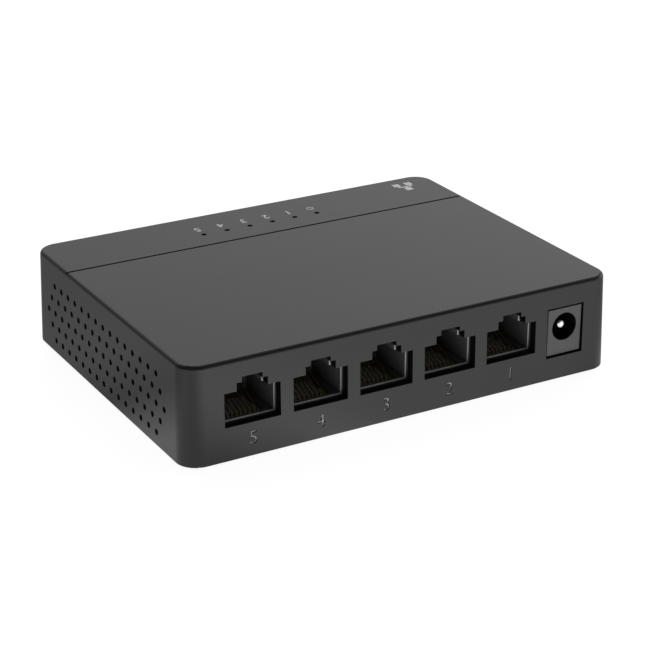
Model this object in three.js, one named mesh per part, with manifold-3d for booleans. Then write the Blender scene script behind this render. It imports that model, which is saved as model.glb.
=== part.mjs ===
// A five-port desktop network switch: moulded top cover over an inset base plate, and between them
// a circuit board that carries five network sockets, a power socket, lamps and its electronics.
// Millimetres, +Z up. The sockets face -Y. The origin is midway under the four rubber feet.
import * as THREE from "three";
import { mergeVertices } from "three/addons/utils/BufferGeometryUtils.js";
import Module from "manifold-3d";

const wasm = await Module();
wasm.setup();

// ---- Driving dimensions ------------------------------------------------------------------------

const slideGap = 0.3; // between pieces that slide into each other
const seatGap = 0.05; // between a piece and what it is soldered or stuck to
const cutThrough = 1; // how far a cutting tool runs past the faces it opens

const cover = { depth: 79.4, wall: 2, roof: 2, lean: 0.5, corner: 4.7, edge: 0.5, headroom: 0.84 };
const endRoom = { left: 7.82, right: 8.25 };
const groove = { fromBack: 19.2, width: 0.6, depth: 0.4 };
const vent = { pitch: 3.8, radius: 0.68, rows: [15, 16, 17, 16, 15], middleHeight: 9.7, offset: 0.7 };
const ventSides = 6;

const foot = { radius: 4.5, drop: 0.8, pocket: 0.5, chamfer: 0.25, sideMargin: 2.4, endMargin: 0.6 };
const base = { thickness: 2, recess: 0.3 };
const slot = { width: 1.8, length: 15, pitch: 4.4, count: 9, bankSpread: 22 };
const clip = { width: 6, frontWidth: 3, thickness: 1.2, rise: 6, backSpread: 34 };
const clipNose = { depth: 0.8, height: 1.2 };

const board = { thickness: 1.6, underGap: 1.68, frontInset: 1 };
const post = { radius: 2.5, pinRadius: 1.2, pinProud: 0.8, inset: 4, fromFront: 38 };
const screw = { headRadius: 2.5, headHeight: 1.6, shankRadius: 1.3, bite: 0.9 };

const ports = { count: 5, spacing: 0.5 };
const jack = { sideWall: 1.265, backWall: 3.5, cavity: 14.5, overOpening: 1.2 };
const peg = { radius: 1.5, fromSide: 1.9 };
const opening = { width: 12.75, sill: 2, height: 7.44, lip: 0.25, latchLip: 0.1 };
const latchSteps = [
  { width: 7, height: 1.79 },
  { width: 4.63, height: 1.15 },
];
const wire = { count: 8, pitch: 1.02, size: 0.4, slope: 19.7 };
const wireRoot = { radius: 0.35, fromFront: 1.8, below: 0.3, margin: 0.4 };
const bed = { clearance: 0.2, margin: 0.9, fromFront: 1 };
const carrier = { depth: 3.2, height: 4.3, sideGap: 0.1, slotDepth: 1.6, tipEntry: 0.3 };

const power = { width: 9, height: 11, depth: 14.2, flange: 3, recess: 0.35, gap: 0.3, beside: 2.07 };
const bore = { radius: 3.2, depth: 10, above: 6.54 };
const pin = { radius: 1.05, recess: 1.1, tail: 0.8 };
const leaf = { width: 2.4, thickness: 0.35, behindBore: 1.95, below: 0.9, reach: 8, crest: 0.55 };
const leafBend = { at: 4.4, crestAt: 6, room: 1.1 };

const lamps = { count: 6, pitch: 6, fromBack: 12.6, holeRadius: 0.63 };
const lamp = { width: 1.6, depth: 0.8, height: 0.8 };
const guide = { radius: 0.75, tipGap: 0.15, tipRecess: 0.5, barDepth: 2.4, barHeight: 2, barBelow: 2.4 };

// Behind: how far back each stands, the transformers from the sockets and the rest from the transformers.
const transformer = { sideInset: 1, depth: 9, height: 5.6, behind: 1.8 };
const chip = { size: 14, height: 1.4, behind: 3.4 };
const crystal = { width: 11, depth: 4.6, height: 3.4, behind: 11, beside: 4.5 };
const inductor = { size: 6, height: 3.2, behind: 12.4, beside: 3.5 };
const regulator = { width: 4, depth: 5, height: 1.5, behind: 3.9 };
const capacitor = { radius: 3.15, height: 7.7, count: 2, behind: 2.4, spacing: 1.7, rim: 0.35 };

// ---- Worked out from them ----------------------------------------------------------------------

// Heights, from the feet up.
const coverBottom = foot.drop;
const baseUnder = coverBottom + base.recess;
const baseTop = baseUnder + base.thickness;
const boardUnder = baseTop + board.underGap;
const boardTop = boardUnder + board.thickness;
const sill = boardTop + opening.sill;
const shoulder = sill + opening.height;
const latchTop = shoulder + latchSteps.reduce((sum, step) => sum + step.height, 0);
const jackTop = latchTop + jack.overOpening;
const roofUnder = jackTop + cover.headroom;
const coverTop = roofUnder + cover.roof;
const coverHeight = coverTop - coverBottom;

// Widths, along the row of sockets.
const jackWidth = opening.width + 2 * jack.sideWall;
const portPitch = jackWidth + ports.spacing;
const portRow = ports.count * portPitch - ports.spacing;
const coverWidth = endRoom.left + portRow + power.beside + power.width + endRoom.right;
const rowLeft = -coverWidth / 2 + endRoom.left;
const rowRight = coverWidth / 2 - endRoom.right;
const lastPortX = rowLeft + jackWidth / 2;
const portX = Array.from({ length: ports.count }, (_, i) => lastPortX + (ports.count - 1 - i) * portPitch);
const powerX = rowRight - power.width / 2;

// The case inside, and the board between the clips.
const insideHalfWidth = coverWidth / 2 - cover.wall;
const insideHalfDepth = cover.depth / 2 - cover.wall;
const insideCorner = cover.corner - cover.wall;
const frontClipX = [
  rowLeft - slideGap - clip.frontWidth / 2,
  rowRight + slideGap + clip.frontWidth / 2,
];
const clipOuter = insideHalfDepth - clipNose.depth - slideGap;
const clipInner = clipOuter - clip.thickness;
const boardFront = -insideHalfDepth + board.frontInset;
const boardBack = clipInner - slideGap;

// The network sockets, front to back.
const jackFront = -(insideHalfDepth - cover.lean) + slideGap;
const cavityBack = jackFront + jack.cavity;
const jackBack = cavityBack + jack.backWall;
const pegY = (jackFront + jackBack) / 2;
const pegX = jackWidth / 2 - peg.fromSide;
const bedFloor = sill - wireRoot.below - wireRoot.radius - bed.clearance;
const carrierFront = cavityBack - carrier.depth;
const wireReach = carrierFront - jackFront - wireRoot.fromFront + carrier.tipEntry;

const powerFront = -(cover.depth / 2 - cover.lean / 2) + power.recess;
const powerBack = powerFront + power.depth;
const powerBottom = boardTop + seatGap;
const powerTop = powerBottom + power.height;
const boreZ = boardTop + bore.above;
const leafPivot = { y: powerFront + bore.depth + leaf.behindBore, z: boreZ - bore.radius - leaf.below };

const lampY = cover.depth / 2 - lamps.fromBack;
const lampX = Array.from({ length: lamps.count }, (_, i) => (i - (lamps.count - 1) / 2) * lamps.pitch);

const backPostY = boardBack - post.inset;
const frontPostY = boardFront + post.fromFront;
const postX = [rowLeft + post.inset, rowRight - post.inset];

const transformerBack = jackBack + transformer.behind + transformer.depth;
const crystalX = (chip.size + crystal.width) / 2 + crystal.beside;
const supplyX = crystalX + crystal.width / 2 + inductor.beside + inductor.size / 2;
const pocketRadius = foot.radius + slideGap;
const footX = insideHalfWidth - slideGap - foot.sideMargin - pocketRadius;
const footY = insideHalfDepth - slideGap - foot.endMargin - pocketRadius;
const footPlaces = [-1, 1].flatMap((sx) => [-1, 1].map((sy) => [sx * footX, sy * footY]));

// ---- Solids ------------------------------------------------------------------------------------

// A closed three.js geometry as a solid that can be joined and cut.
function solid(geometry) {
  const bare = geometry.clone();
  bare.deleteAttribute("normal");
  bare.deleteAttribute("uv");
  const merged = mergeVertices(bare, 1e-4);
  const vertProperties = new Float32Array(merged.attributes.position.array);
  const triVerts = new Uint32Array(merged.index.array);
  return new wasm.Manifold(new wasm.Mesh({ numProp: 3, vertProperties, triVerts }));
}

// A solid back as a three.js geometry with flat faces.
function geometryOf(body) {
  const mesh = body.getMesh();
  const indexed = new THREE.BufferGeometry();
  indexed.setAttribute("position", new THREE.BufferAttribute(mesh.vertProperties, 3));
  indexed.setIndex(new THREE.BufferAttribute(mesh.triVerts, 1));
  const flat = indexed.toNonIndexed();
  flat.computeVertexNormals();
  return flat;
}

// A box between two corners.
function block(low, high) {
  const size = high.map((value, i) => value - low[i]);
  const middle = high.map((value, i) => (value + low[i]) / 2);
  return new THREE.BoxGeometry(...size).translate(...middle);
}

// A cylinder along x, y or z, from one place on that axis to another.
function rod(axis, radius, from, to, at, sides = 12) {
  const shape = new THREE.CylinderGeometry(radius, radius, to - from, sides);
  if (axis === "x") shape.rotateZ(Math.PI / 2);
  if (axis === "z") shape.rotateX(Math.PI / 2);
  const place = { x: [1, 0, 0], y: [0, 1, 0], z: [0, 0, 1] }[axis].map((on) => on * (from + to) / 2);
  return shape.translate(place[0] + at[0], place[1] + at[1], place[2] + at[2]);
}

// A solid of revolution about z from a closed profile of [radius, height] points on the axis.
function turned(profile, sides = 16) {
  const points = profile.map(([radius, height]) => new THREE.Vector2(radius, height));
  return new THREE.LatheGeometry(points, sides).rotateX(Math.PI / 2);
}

// A rectangle about the origin with round corners.
function roundedRectangle(width, depth, radius) {
  const x = width / 2 - radius;
  const y = depth / 2 - radius;
  const shape = new THREE.Shape();
  shape.absarc(x, y, radius, 0, Math.PI / 2);
  shape.absarc(-x, y, radius, Math.PI / 2, Math.PI);
  shape.absarc(-x, -y, radius, Math.PI, Math.PI * 1.5);
  shape.absarc(x, -y, radius, Math.PI * 1.5, Math.PI * 2);
  return shape;
}

// An outline drawn in x and z, pushed along y between two depths.
function alongY(outline, from, to) {
  const shape = new THREE.Shape(outline.map(([x, z]) => new THREE.Vector2(x, z)));
  const made = new THREE.ExtrudeGeometry(shape, { depth: to - from, bevelEnabled: false });
  return made.rotateX(Math.PI / 2).translate(0, to, 0);
}

// The cover's sides lean in towards the top by the draft angle that lets it leave its mould.
function leanIn(geometry) {
  const places = geometry.attributes.position;
  for (let i = 0; i < places.count; i++) {
    const inset = (cover.lean * (places.getZ(i) - coverBottom)) / coverHeight;
    places.setX(i, places.getX(i) * (1 - inset / (coverWidth / 2)));
    places.setY(i, places.getY(i) * (1 - inset / (cover.depth / 2)));
  }
  return geometry;
}

// The stepped outline of a network socket: plug width below, two steps of latch room above. The
// socket's own opening is smaller than the case's by the lip that shows round it.
function socketOutline(x, lip = 0, latchLip = 0) {
  const halves = [
    opening.width / 2 - lip,
    ...latchSteps.map((step) => step.width / 2 - latchLip),
  ];
  const heights = [shoulder - lip, shoulder + latchSteps[0].height - latchLip, latchTop - latchLip];
  const right = halves.flatMap((half, i) => [
    [x + half, i ? heights[i - 1] : sill + lip],
    [x + half, heights[i]],
  ]);
  const left = right.map(([px, pz]) => [2 * x - px, pz]).reverse();
  return [...right, ...left];
}

// ---- Case --------------------------------------------------------------------------------------

function makeTopCover() {
  const outline = roundedRectangle(coverWidth, cover.depth, cover.corner);
  const outer = new THREE.ExtrudeGeometry(outline, {
    depth: coverHeight - 2 * cover.edge,
    bevelThickness: cover.edge,
    bevelSize: cover.edge,
    bevelOffset: -cover.edge,
    bevelSegments: 3,
    curveSegments: 6,
  }).translate(0, 0, coverBottom + cover.edge);
  const inline = roundedRectangle(
    2 * insideHalfWidth,
    2 * insideHalfDepth,
    insideCorner,
  );
  const inner = new THREE.ExtrudeGeometry(inline, {
    depth: roofUnder - coverBottom + cutThrough,
    bevelEnabled: false,
    curveSegments: 4,
  }).translate(0, 0, coverBottom - cutThrough);
  let body = solid(leanIn(outer)).subtract(solid(leanIn(inner)));

  const grooveY = cover.depth / 2 - groove.fromBack;
  const farX = coverWidth / 2 + cutThrough;
  body = body.subtract(
    solid(
      block(
        [-farX, grooveY - groove.width / 2, coverTop - groove.depth],
        [farX, grooveY + groove.width / 2, coverTop + cutThrough],
      ),
    ),
  );
  for (const x of lampX) {
    const hole = rod("z", lamps.holeRadius, roofUnder - cutThrough, coverTop + cutThrough, [x, lampY, 0]);
    body = body.subtract(solid(hole));
  }
  const wallFront = -cover.depth / 2 - cutThrough;
  const wallBack = -insideHalfDepth + cover.lean + cutThrough;
  for (const x of portX) body = body.subtract(solid(alongY(socketOutline(x), wallFront, wallBack)));
  body = body.subtract(
    solid(
      block(
        [powerX - power.width / 2 - power.gap, wallFront, powerBottom - power.gap],
        [powerX + power.width / 2 + power.gap, wallBack, powerTop + power.gap],
      ),
    ),
  );
  for (const hole of ventHoles()) body = body.subtract(solid(hole));
  for (const ledge of clipLedges()) body = body.add(solid(ledge));
  return body;
}

// The round holes in both side walls, on a triangular grid.
function ventHoles() {
  const rowPitch = (vent.pitch * Math.sqrt(3)) / 2;
  const middleRow = (vent.rows.length - 1) / 2;
  const inner = insideHalfWidth - cover.lean - cutThrough;
  const outer = coverWidth / 2 + cutThrough;
  return vent.rows.flatMap((count, row) =>
    Array.from({ length: count }, (_, i) => {
      const y = vent.offset + (i - (count - 1) / 2) * vent.pitch;
      const z = coverBottom + vent.middleHeight + (middleRow - row) * rowPitch;
      return [-1, 1].map((side) => {
        const ends = [side * inner, side * outer].sort((a, b) => a - b);
        return rod("x", vent.radius, ends[0], ends[1], [0, y, z], ventSides);
      });
    }).flat(),
  );
}

// Where the base plate's clips stand: x, the wall they face (-1 front, 1 back) and their width.
function clipPlaces() {
  return [
    ...frontClipX.map((x) => [x, -1, clip.frontWidth]),
    [-clip.backSpread, 1, clip.width],
    [0, 1, clip.width],
    [clip.backSpread, 1, clip.width],
  ];
}

// The ledges inside the cover's walls that the clips snap over.
function clipLedges() {
  const top = baseTop + clip.rise - clipNose.height - slideGap;
  return clipPlaces().map(([x, side, width]) => {
    const ys = [side * (insideHalfDepth + cover.wall / 2), side * (insideHalfDepth - clipNose.depth)];
    ys.sort((a, b) => a - b);
    return block([x - width / 2, ys[0], top - clipNose.height], [x + width / 2, ys[1], top]);
  });
}

function makeBottomCover() {
  const plate = new THREE.ExtrudeGeometry(
    roundedRectangle(
      2 * (insideHalfWidth - slideGap),
      2 * (insideHalfDepth - slideGap),
      insideCorner - slideGap,
    ),
    { depth: base.thickness, bevelEnabled: false, curveSegments: 4 },
  ).translate(0, 0, baseUnder);
  let body = solid(plate);
  for (const [x, y] of footPlaces) {
    const pocket = rod(
      "z",
      pocketRadius,
      baseUnder - cutThrough,
      baseUnder + foot.pocket,
      [x, y, 0],
      20,
    );
    body = body.subtract(solid(pocket));
  }
  for (const bank of [-1, 1]) {
    for (let i = 0; i < slot.count; i++) {
      const x = bank * slot.bankSpread;
      const y = (i - (slot.count - 1) / 2) * slot.pitch;
      const low = [x - slot.length / 2, y - slot.width / 2, baseUnder - cutThrough];
      const high = [x + slot.length / 2, y + slot.width / 2, baseTop + cutThrough];
      body = body.subtract(solid(block(low, high)));
    }
  }
  const postFoot = baseTop - cutThrough;
  const postTop = boardUnder - seatGap;
  const pinTop = boardTop + post.pinProud;
  for (const x of postX) {
    body = body.add(solid(rod("z", post.radius, postFoot, postTop, [x, frontPostY, 0])));
    body = body.add(solid(rod("z", post.pinRadius, postFoot, pinTop, [x, frontPostY, 0])));
    body = body.add(solid(rod("z", post.radius, postFoot, postTop, [x, backPostY, 0])));
    const screwBore = rod(
      "z",
      screw.shankRadius + slideGap / 2,
      baseTop - screw.bite - slideGap,
      boardUnder + cutThrough,
      [x, backPostY, 0],
    );
    body = body.subtract(solid(screwBore));
  }
  for (const [x, side, width] of clipPlaces()) body = body.add(solid(clipArm(x, side, width)));
  return body;
}

// One clip: an arm that stands clear of its wall, with a nose on top that hooks over the ledge.
function clipArm(x, side, width) {
  const tip = insideHalfDepth - cover.lean - slideGap;
  const top = baseTop + clip.rise;
  const profile = [
    [clipInner, baseTop - cutThrough],
    [clipOuter, baseTop - cutThrough],
    [clipOuter, top - clipNose.height],
    [tip, top - clipNose.height],
    [clipOuter, top],
    [clipInner, top],
  ];
  const shape = new THREE.Shape(profile.map(([y, z]) => new THREE.Vector2(y, z)));
  const arm = new THREE.ExtrudeGeometry(shape, { depth: width, bevelEnabled: false });
  // The profile's plane becomes y and z, and the push becomes x.
  arm.rotateX(Math.PI / 2).rotateZ(Math.PI / 2).translate(x, 0, 0);
  arm.translate(-width / 2, 0, 0);
  return side > 0 ? arm : arm.rotateZ(Math.PI).translate(2 * x, 0, 0);
}

function makeFoot() {
  const top = baseUnder + foot.pocket - seatGap;
  return turned(
    [
      [0, 0],
      [foot.radius - foot.chamfer, 0],
      [foot.radius, foot.chamfer],
      [foot.radius, top],
      [0, top],
    ],
    20,
  );
}

// ---- Circuit board -----------------------------------------------------------------------------

function makeBoard() {
  let body = solid(block([rowLeft, boardFront, boardUnder], [rowRight, boardBack, boardTop]));
  const holes = [
    ...postX.map((x) => [x, frontPostY, post.pinRadius + slideGap]),
    ...postX.map((x) => [x, backPostY, screw.shankRadius + slideGap]),
    ...portX.flatMap((x) =>
      [-1, 1].map((side) => [x + side * pegX, pegY, peg.radius + slideGap]),
    ),
  ];
  for (const [x, y, radius] of holes) {
    const hole = rod("z", radius, boardUnder - cutThrough, boardTop + cutThrough, [x, y, 0]);
    body = body.subtract(solid(hole));
  }
  return body;
}

function makeScrew() {
  const headTop = boardTop + seatGap + screw.headHeight;
  return turned(
    [
      [0, baseTop - screw.bite],
      [screw.shankRadius, baseTop - screw.bite],
      [screw.shankRadius, boardTop + seatGap],
      [screw.headRadius, boardTop + seatGap],
      [screw.headRadius, headTop - screw.headHeight / 3],
      [screw.headRadius * 0.7, headTop],
      [0, headTop],
    ],
    12,
  );
}

// ---- Network socket ----------------------------------------------------------------------------

function makeSocketHousing(x) {
  const bottom = boardTop + seatGap;
  const half = jackWidth / 2;
  let body = solid(block([x - half, jackFront, bottom], [x + half, jackBack, jackTop]));
  const cavity = socketOutline(x, opening.lip, opening.latchLip);
  body = body.subtract(solid(alongY(cavity, jackFront - cutThrough, cavityBack)));
  const bedHalf = (wire.pitch * (wire.count - 1)) / 2 + bed.margin;
  const bedBack = carrierFront - slideGap;
  body = body.subtract(
    solid(
      block(
        [x - bedHalf, jackFront + bed.fromFront, bedFloor],
        [x + bedHalf, bedBack, sill + cutThrough],
      ),
    ),
  );
  for (const side of [-1, 1]) {
    const pegTip = boardUnder - post.pinProud;
    const at = [x + side * pegX, pegY, 0];
    body = body.add(solid(rod("z", peg.radius, pegTip, bottom + cutThrough, at)));
  }
  return body;
}

function wireX(x) {
  return Array.from({ length: wire.count }, (_, i) => x + (i - (wire.count - 1) / 2) * wire.pitch);
}

// The block at the back of the cavity whose comb keeps the eight wires' tips apart.
function makeContactCarrier(x) {
  const half = opening.width / 2 - opening.lip - slideGap;
  const back = cavityBack - seatGap;
  const bottom = sill + opening.lip + seatGap;
  const top = sill + carrier.height;
  let body = solid(block([x - half, carrierFront, bottom], [x + half, back, top]));
  const slotHalf = wire.size / 2 + carrier.sideGap;
  for (const wx of wireX(x)) {
    const low = [wx - slotHalf, carrierFront - cutThrough, bottom - cutThrough];
    const high = [wx + slotHalf, carrierFront + carrier.slotDepth, top + cutThrough];
    body = body.subtract(solid(block(low, high)));
  }
  return body;
}

// Eight sprung wires that rise towards the back, joined at the front by the bar they bend about.
function makeContacts(x) {
  const y = jackFront + wireRoot.fromFront;
  const z = sill - wireRoot.below;
  const half = (wire.pitch * (wire.count - 1)) / 2 + wireRoot.margin;
  let body = solid(rod("x", wireRoot.radius, -half, half, [x, y, z], 8));
  const slope = THREE.MathUtils.degToRad(wire.slope);
  const length = wireReach / Math.cos(slope);
  const halfWire = wire.size / 2;
  for (const wx of wireX(x)) {
    const strip = block([-halfWire, 0, -halfWire], [halfWire, length, halfWire]);
    strip.rotateX(slope).translate(wx, y, z);
    body = body.add(solid(strip));
  }
  return body;
}

// ---- Power socket ------------------------------------------------------------------------------

function makePowerHousing() {
  const half = power.width / 2;
  const flangeBack = powerFront + power.flange;
  let body = solid(block([powerX - half, powerFront, powerBottom], [powerX + half, flangeBack, powerTop]));
  const barrel = rod("y", half, flangeBack - cutThrough, powerBack, [powerX, 0, powerTop - half], 24);
  body = body.add(solid(barrel));
  const cheek = block(
    [powerX - half, flangeBack - cutThrough, powerBottom],
    [powerX + half, powerBack, powerTop - half],
  );
  body = body.add(solid(cheek));
  body = body.subtract(
    solid(rod("y", bore.radius, powerFront - cutThrough, powerFront + bore.depth, [powerX, 0, boreZ], 24)),
  );
  body = body.subtract(
    solid(rod("y", pin.radius + slideGap, powerFront, powerBack + cutThrough, [powerX, 0, boreZ], 12)),
  );
  const slotHalf = leaf.width / 2 + slideGap;
  const slotTop = boreZ - Math.sqrt(bore.radius ** 2 - slotHalf ** 2) + seatGap;
  const slotFront = leafPivot.y - leaf.reach - leafBend.room / 2;
  const slotFloor = leafPivot.z - leaf.thickness - leafBend.room;
  body = body.subtract(
    solid(
      block(
        [powerX - slotHalf, slotFront, slotFloor],
        [powerX + slotHalf, leafPivot.y + leafBend.room / 2, slotTop],
      ),
    ),
  );
  return body;
}

// The pin in the middle of the bore, with a round nose and a tail out of the back.
function makePowerPin() {
  const length = power.depth - pin.recess + pin.tail;
  const steps = 4;
  const nose = Array.from({ length: steps }, (_, i) => {
    const turn = (i / steps) * (Math.PI / 2);
    return [pin.radius * Math.cos(turn), length - pin.radius + pin.radius * Math.sin(turn)];
  });
  const made = turned([[0, 0], [pin.radius, 0], ...nose, [0, length]], 12);
  // The nose points at -Y.
  return made.rotateX(Math.PI / 2).translate(powerX, powerBack + pin.tail, boreZ);
}

// The bent leaf under the bore, whose crest presses on the plug's barrel.
function makePowerSpring() {
  const { y, z } = leafPivot;
  const line = [
    [y, z],
    [y - leafBend.at, z + leaf.thickness],
    [y - leafBend.crestAt, boreZ - bore.radius + leaf.crest],
    [y - leaf.reach, z],
  ];
  const under = line.map(([py, pz]) => [py, pz - leaf.thickness]).reverse();
  const shape = new THREE.Shape([...line, ...under].map(([py, pz]) => new THREE.Vector2(py, pz)));
  const made = new THREE.ExtrudeGeometry(shape, { depth: leaf.width, bevelEnabled: false });
  made.rotateX(Math.PI / 2).rotateZ(Math.PI / 2);
  return made.translate(powerX - leaf.width / 2, 0, 0);
}

// ---- Lamps and electronics ---------------------------------------------------------------------

function makeLamp(x) {
  const bottom = boardTop + seatGap;
  return block(
    [x - lamp.width / 2, lampY - lamp.depth / 2, bottom],
    [x + lamp.width / 2, lampY + lamp.depth / 2, bottom + lamp.height],
  );
}

// Six clear pipes that carry the lamps' light to the roof, on one bar with a leg at each end.
function makeLightGuide() {
  const endX = lampX[lampX.length - 1] + lamps.pitch / 2;
  const barTop = roofUnder - guide.barBelow;
  let body = solid(
    block(
      [-endX, lampY - guide.barDepth / 2, barTop - guide.barHeight],
      [endX, lampY + guide.barDepth / 2, barTop],
    ),
  );
  const shoulderZ = roofUnder - slideGap;
  const foot0 = boardTop + seatGap + lamp.height + slideGap;
  for (const x of lampX) {
    const pipe = turned(
      [
        [0, foot0],
        [guide.radius, foot0],
        [guide.radius, shoulderZ],
        [lamps.holeRadius - guide.tipGap, shoulderZ],
        [lamps.holeRadius - guide.tipGap, coverTop - guide.tipRecess],
        [0, coverTop - guide.tipRecess],
      ],
      12,
    );
    body = body.add(solid(pipe.translate(x, lampY, 0)));
  }
  for (const side of [-1, 1]) {
    const x = side * (endX - guide.radius);
    body = body.add(solid(rod("z", guide.radius, boardTop + seatGap, barTop - 0.5, [x, lampY, 0], 10)));
  }
  return body;
}

// A moulded block on the board with a small bevel round its top.
function chipBody(width, depth, height, x, y, bevel) {
  const outline = roundedRectangle(width - 2 * bevel, depth - 2 * bevel, 0.2);
  const made = new THREE.ExtrudeGeometry(outline, {
    depth: height - 2 * bevel,
    bevelThickness: bevel,
    bevelSize: bevel,
    bevelSegments: 1,
    curveSegments: 2,
  });
  return made.translate(x, y, boardTop + seatGap + bevel);
}

function makeCapacitor(y) {
  const bottom = boardTop + seatGap;
  const top = bottom + capacitor.height;
  const made = turned(
    [
      [0, bottom],
      [capacitor.radius, bottom],
      [capacitor.radius, top - capacitor.rim],
      [capacitor.radius - capacitor.rim, top],
      [0, top],
    ],
    20,
  );
  return made.translate(powerX, y, 0);
}

// ---- Assembly ----------------------------------------------------------------------------------

const finishes = {
  blackPlastic: { color: 0x2a2a2b, roughness: 0.55, metalness: 0 },
  jackPlastic: { color: 0x1b1b1c, roughness: 0.45, metalness: 0 },
  rubber: { color: 0x1d1d1d, roughness: 0.85, metalness: 0 },
  boardGreen: { color: 0x1c5b35, roughness: 0.45, metalness: 0 },
  steel: { color: 0xb9bcc0, roughness: 0.3, metalness: 1 },
  gold: { color: 0xd9b25a, roughness: 0.25, metalness: 1 },
  chipBlack: { color: 0x202022, roughness: 0.6, metalness: 0 },
  ferrite: { color: 0x3a3a3c, roughness: 0.7, metalness: 0.1 },
  clear: { color: 0xdfe6ea, roughness: 0.15, metalness: 0 },
  lampWhite: { color: 0xe9e6cf, roughness: 0.4, metalness: 0 },
};

const networkSwitch = new THREE.Group();

// One named piece of the assembly with its own material.
function place(parent, name, shape, finish) {
  const geometry = shape.isBufferGeometry ? shape : geometryOf(shape);
  const mesh = new THREE.Mesh(geometry, new THREE.MeshStandardMaterial(finishes[finish]));
  mesh.name = name;
  parent.add(mesh);
  return mesh;
}

const casing = new THREE.Group();
networkSwitch.add(casing);
place(casing, "top_cover", makeTopCover(), "blackPlastic");
place(casing, "bottom_cover", makeBottomCover(), "blackPlastic");
footPlaces.forEach(([x, y], i) => {
  const mesh = place(casing, `foot_${i + 1}`, makeFoot(), "rubber");
  mesh.position.set(x, y, 0);
});

const electronics = new THREE.Group();
networkSwitch.add(electronics);
place(electronics, "circuit_board", makeBoard(), "boardGreen");
postX.forEach((x, i) => {
  const mesh = place(electronics, `board_screw_${i + 1}`, makeScrew(), "steel");
  mesh.position.set(x, backPostY, 0);
});
portX.forEach((x, i) => {
  const name = `port_${i + 1}`;
  place(electronics, `${name}_housing`, makeSocketHousing(x), "jackPlastic");
  place(electronics, `${name}_contact_carrier`, makeContactCarrier(x), "jackPlastic");
  place(electronics, `${name}_contacts`, makeContacts(x), "gold");
  const width = jackWidth - 2 * transformer.sideInset;
  const y = transformerBack - transformer.depth / 2;
  const body = chipBody(width, transformer.depth, transformer.height, x, y, 0.3);
  place(electronics, `${name}_transformer`, body, "chipBlack");
});

place(electronics, "power_socket_housing", makePowerHousing(), "jackPlastic");
place(electronics, "power_socket_pin", makePowerPin(), "steel");
place(electronics, "power_socket_spring", makePowerSpring(), "steel");

lampX.forEach((x, i) => {
  const name = i === lampX.length - 1 ? "lamp_power" : `lamp_${ports.count - i}`;
  place(electronics, name, makeLamp(x), "lampWhite");
});
place(electronics, "light_guide", makeLightGuide(), "clear");

// The chips that stand behind the transformers: name, width, depth, height, x, behind, bevel, finish.
const chips = [
  ["switch_chip", chip.size, chip.size, chip.height, 0, chip.behind, 0.15, "chipBlack"],
  ["clock_crystal", crystal.width, crystal.depth, crystal.height, crystalX, crystal.behind, 0.3, "steel"],
  ["power_inductor", inductor.size, inductor.size, inductor.height, supplyX, inductor.behind, 0.4, "ferrite"],
  [
    "voltage_regulator",
    regulator.width,
    regulator.depth,
    regulator.height,
    supplyX,
    regulator.behind,
    0.15,
    "chipBlack",
  ],
];
for (const [name, width, depth, height, x, behind, bevel, finish] of chips) {
  const y = transformerBack + behind + depth / 2;
  place(electronics, name, chipBody(width, depth, height, x, y, bevel), finish);
}
for (let i = 0; i < capacitor.count; i++) {
  const step = 2 * capacitor.radius + capacitor.spacing;
  const y = powerBack + capacitor.behind + capacitor.radius + i * step;
  place(electronics, `capacitor_${i + 1}`, makeCapacitor(y), "steel");
}

export default networkSwitch;
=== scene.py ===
"""A desktop network switch, dressed round its CAD frame: case, sockets, board and lamps."""

import logging
import math
from dataclasses import dataclass, field
from enum import Enum
from typing import Callable, Iterable, Sequence

import bpy
from mathutils import Matrix, Vector


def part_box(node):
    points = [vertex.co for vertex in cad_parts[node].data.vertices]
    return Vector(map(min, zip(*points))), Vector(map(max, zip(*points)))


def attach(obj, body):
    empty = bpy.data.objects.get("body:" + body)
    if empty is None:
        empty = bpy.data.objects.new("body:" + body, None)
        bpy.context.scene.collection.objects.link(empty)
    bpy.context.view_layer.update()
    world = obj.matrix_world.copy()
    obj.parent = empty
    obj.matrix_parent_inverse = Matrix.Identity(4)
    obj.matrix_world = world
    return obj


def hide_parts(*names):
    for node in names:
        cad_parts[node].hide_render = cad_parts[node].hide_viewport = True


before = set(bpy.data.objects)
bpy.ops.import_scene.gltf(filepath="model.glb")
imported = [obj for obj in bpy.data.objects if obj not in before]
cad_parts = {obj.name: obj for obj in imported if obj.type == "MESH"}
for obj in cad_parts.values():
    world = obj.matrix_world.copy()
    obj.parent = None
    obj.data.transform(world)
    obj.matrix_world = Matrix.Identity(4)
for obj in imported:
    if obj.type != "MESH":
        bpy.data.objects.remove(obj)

MM = 0.001
NEAR = 0.01 * MM
OVER = 1 * MM
SEAT_GAP = 0.05 * MM
OUT = Vector((0, -1, 0))
UP = Vector((0, 0, 1))
CASE_BODY = "case"
PORTS = 5

log = logging.getLogger("network_switch")
Point = tuple[float, float, float]
EdgeTest = Callable[[Vector, Vector, list[Vector]], bool]
FaceTest = Callable[[Vector, Vector], bool]


# ---- Hand tools --------------------------------------------------------------------------------


class Axis(Enum):
    """The shared frame's axes, as indices into a point."""

    X = 0
    Y = 1
    Z = 2


def only(obj: bpy.types.Object) -> None:
    """Select one object alone and make it active."""
    bpy.ops.object.select_all(action="DESELECT")
    obj.select_set(True)
    bpy.context.view_layer.objects.active = obj


def settle(obj: bpy.types.Object) -> bpy.types.Object:
    """Move an object's place, turn and scale into its mesh.

    Args:
        obj: The object to settle.

    Returns:
        The same object, now at the origin.
    """
    only(obj)
    bpy.ops.object.transform_apply(location=True, rotation=True, scale=True)
    return obj


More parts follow.
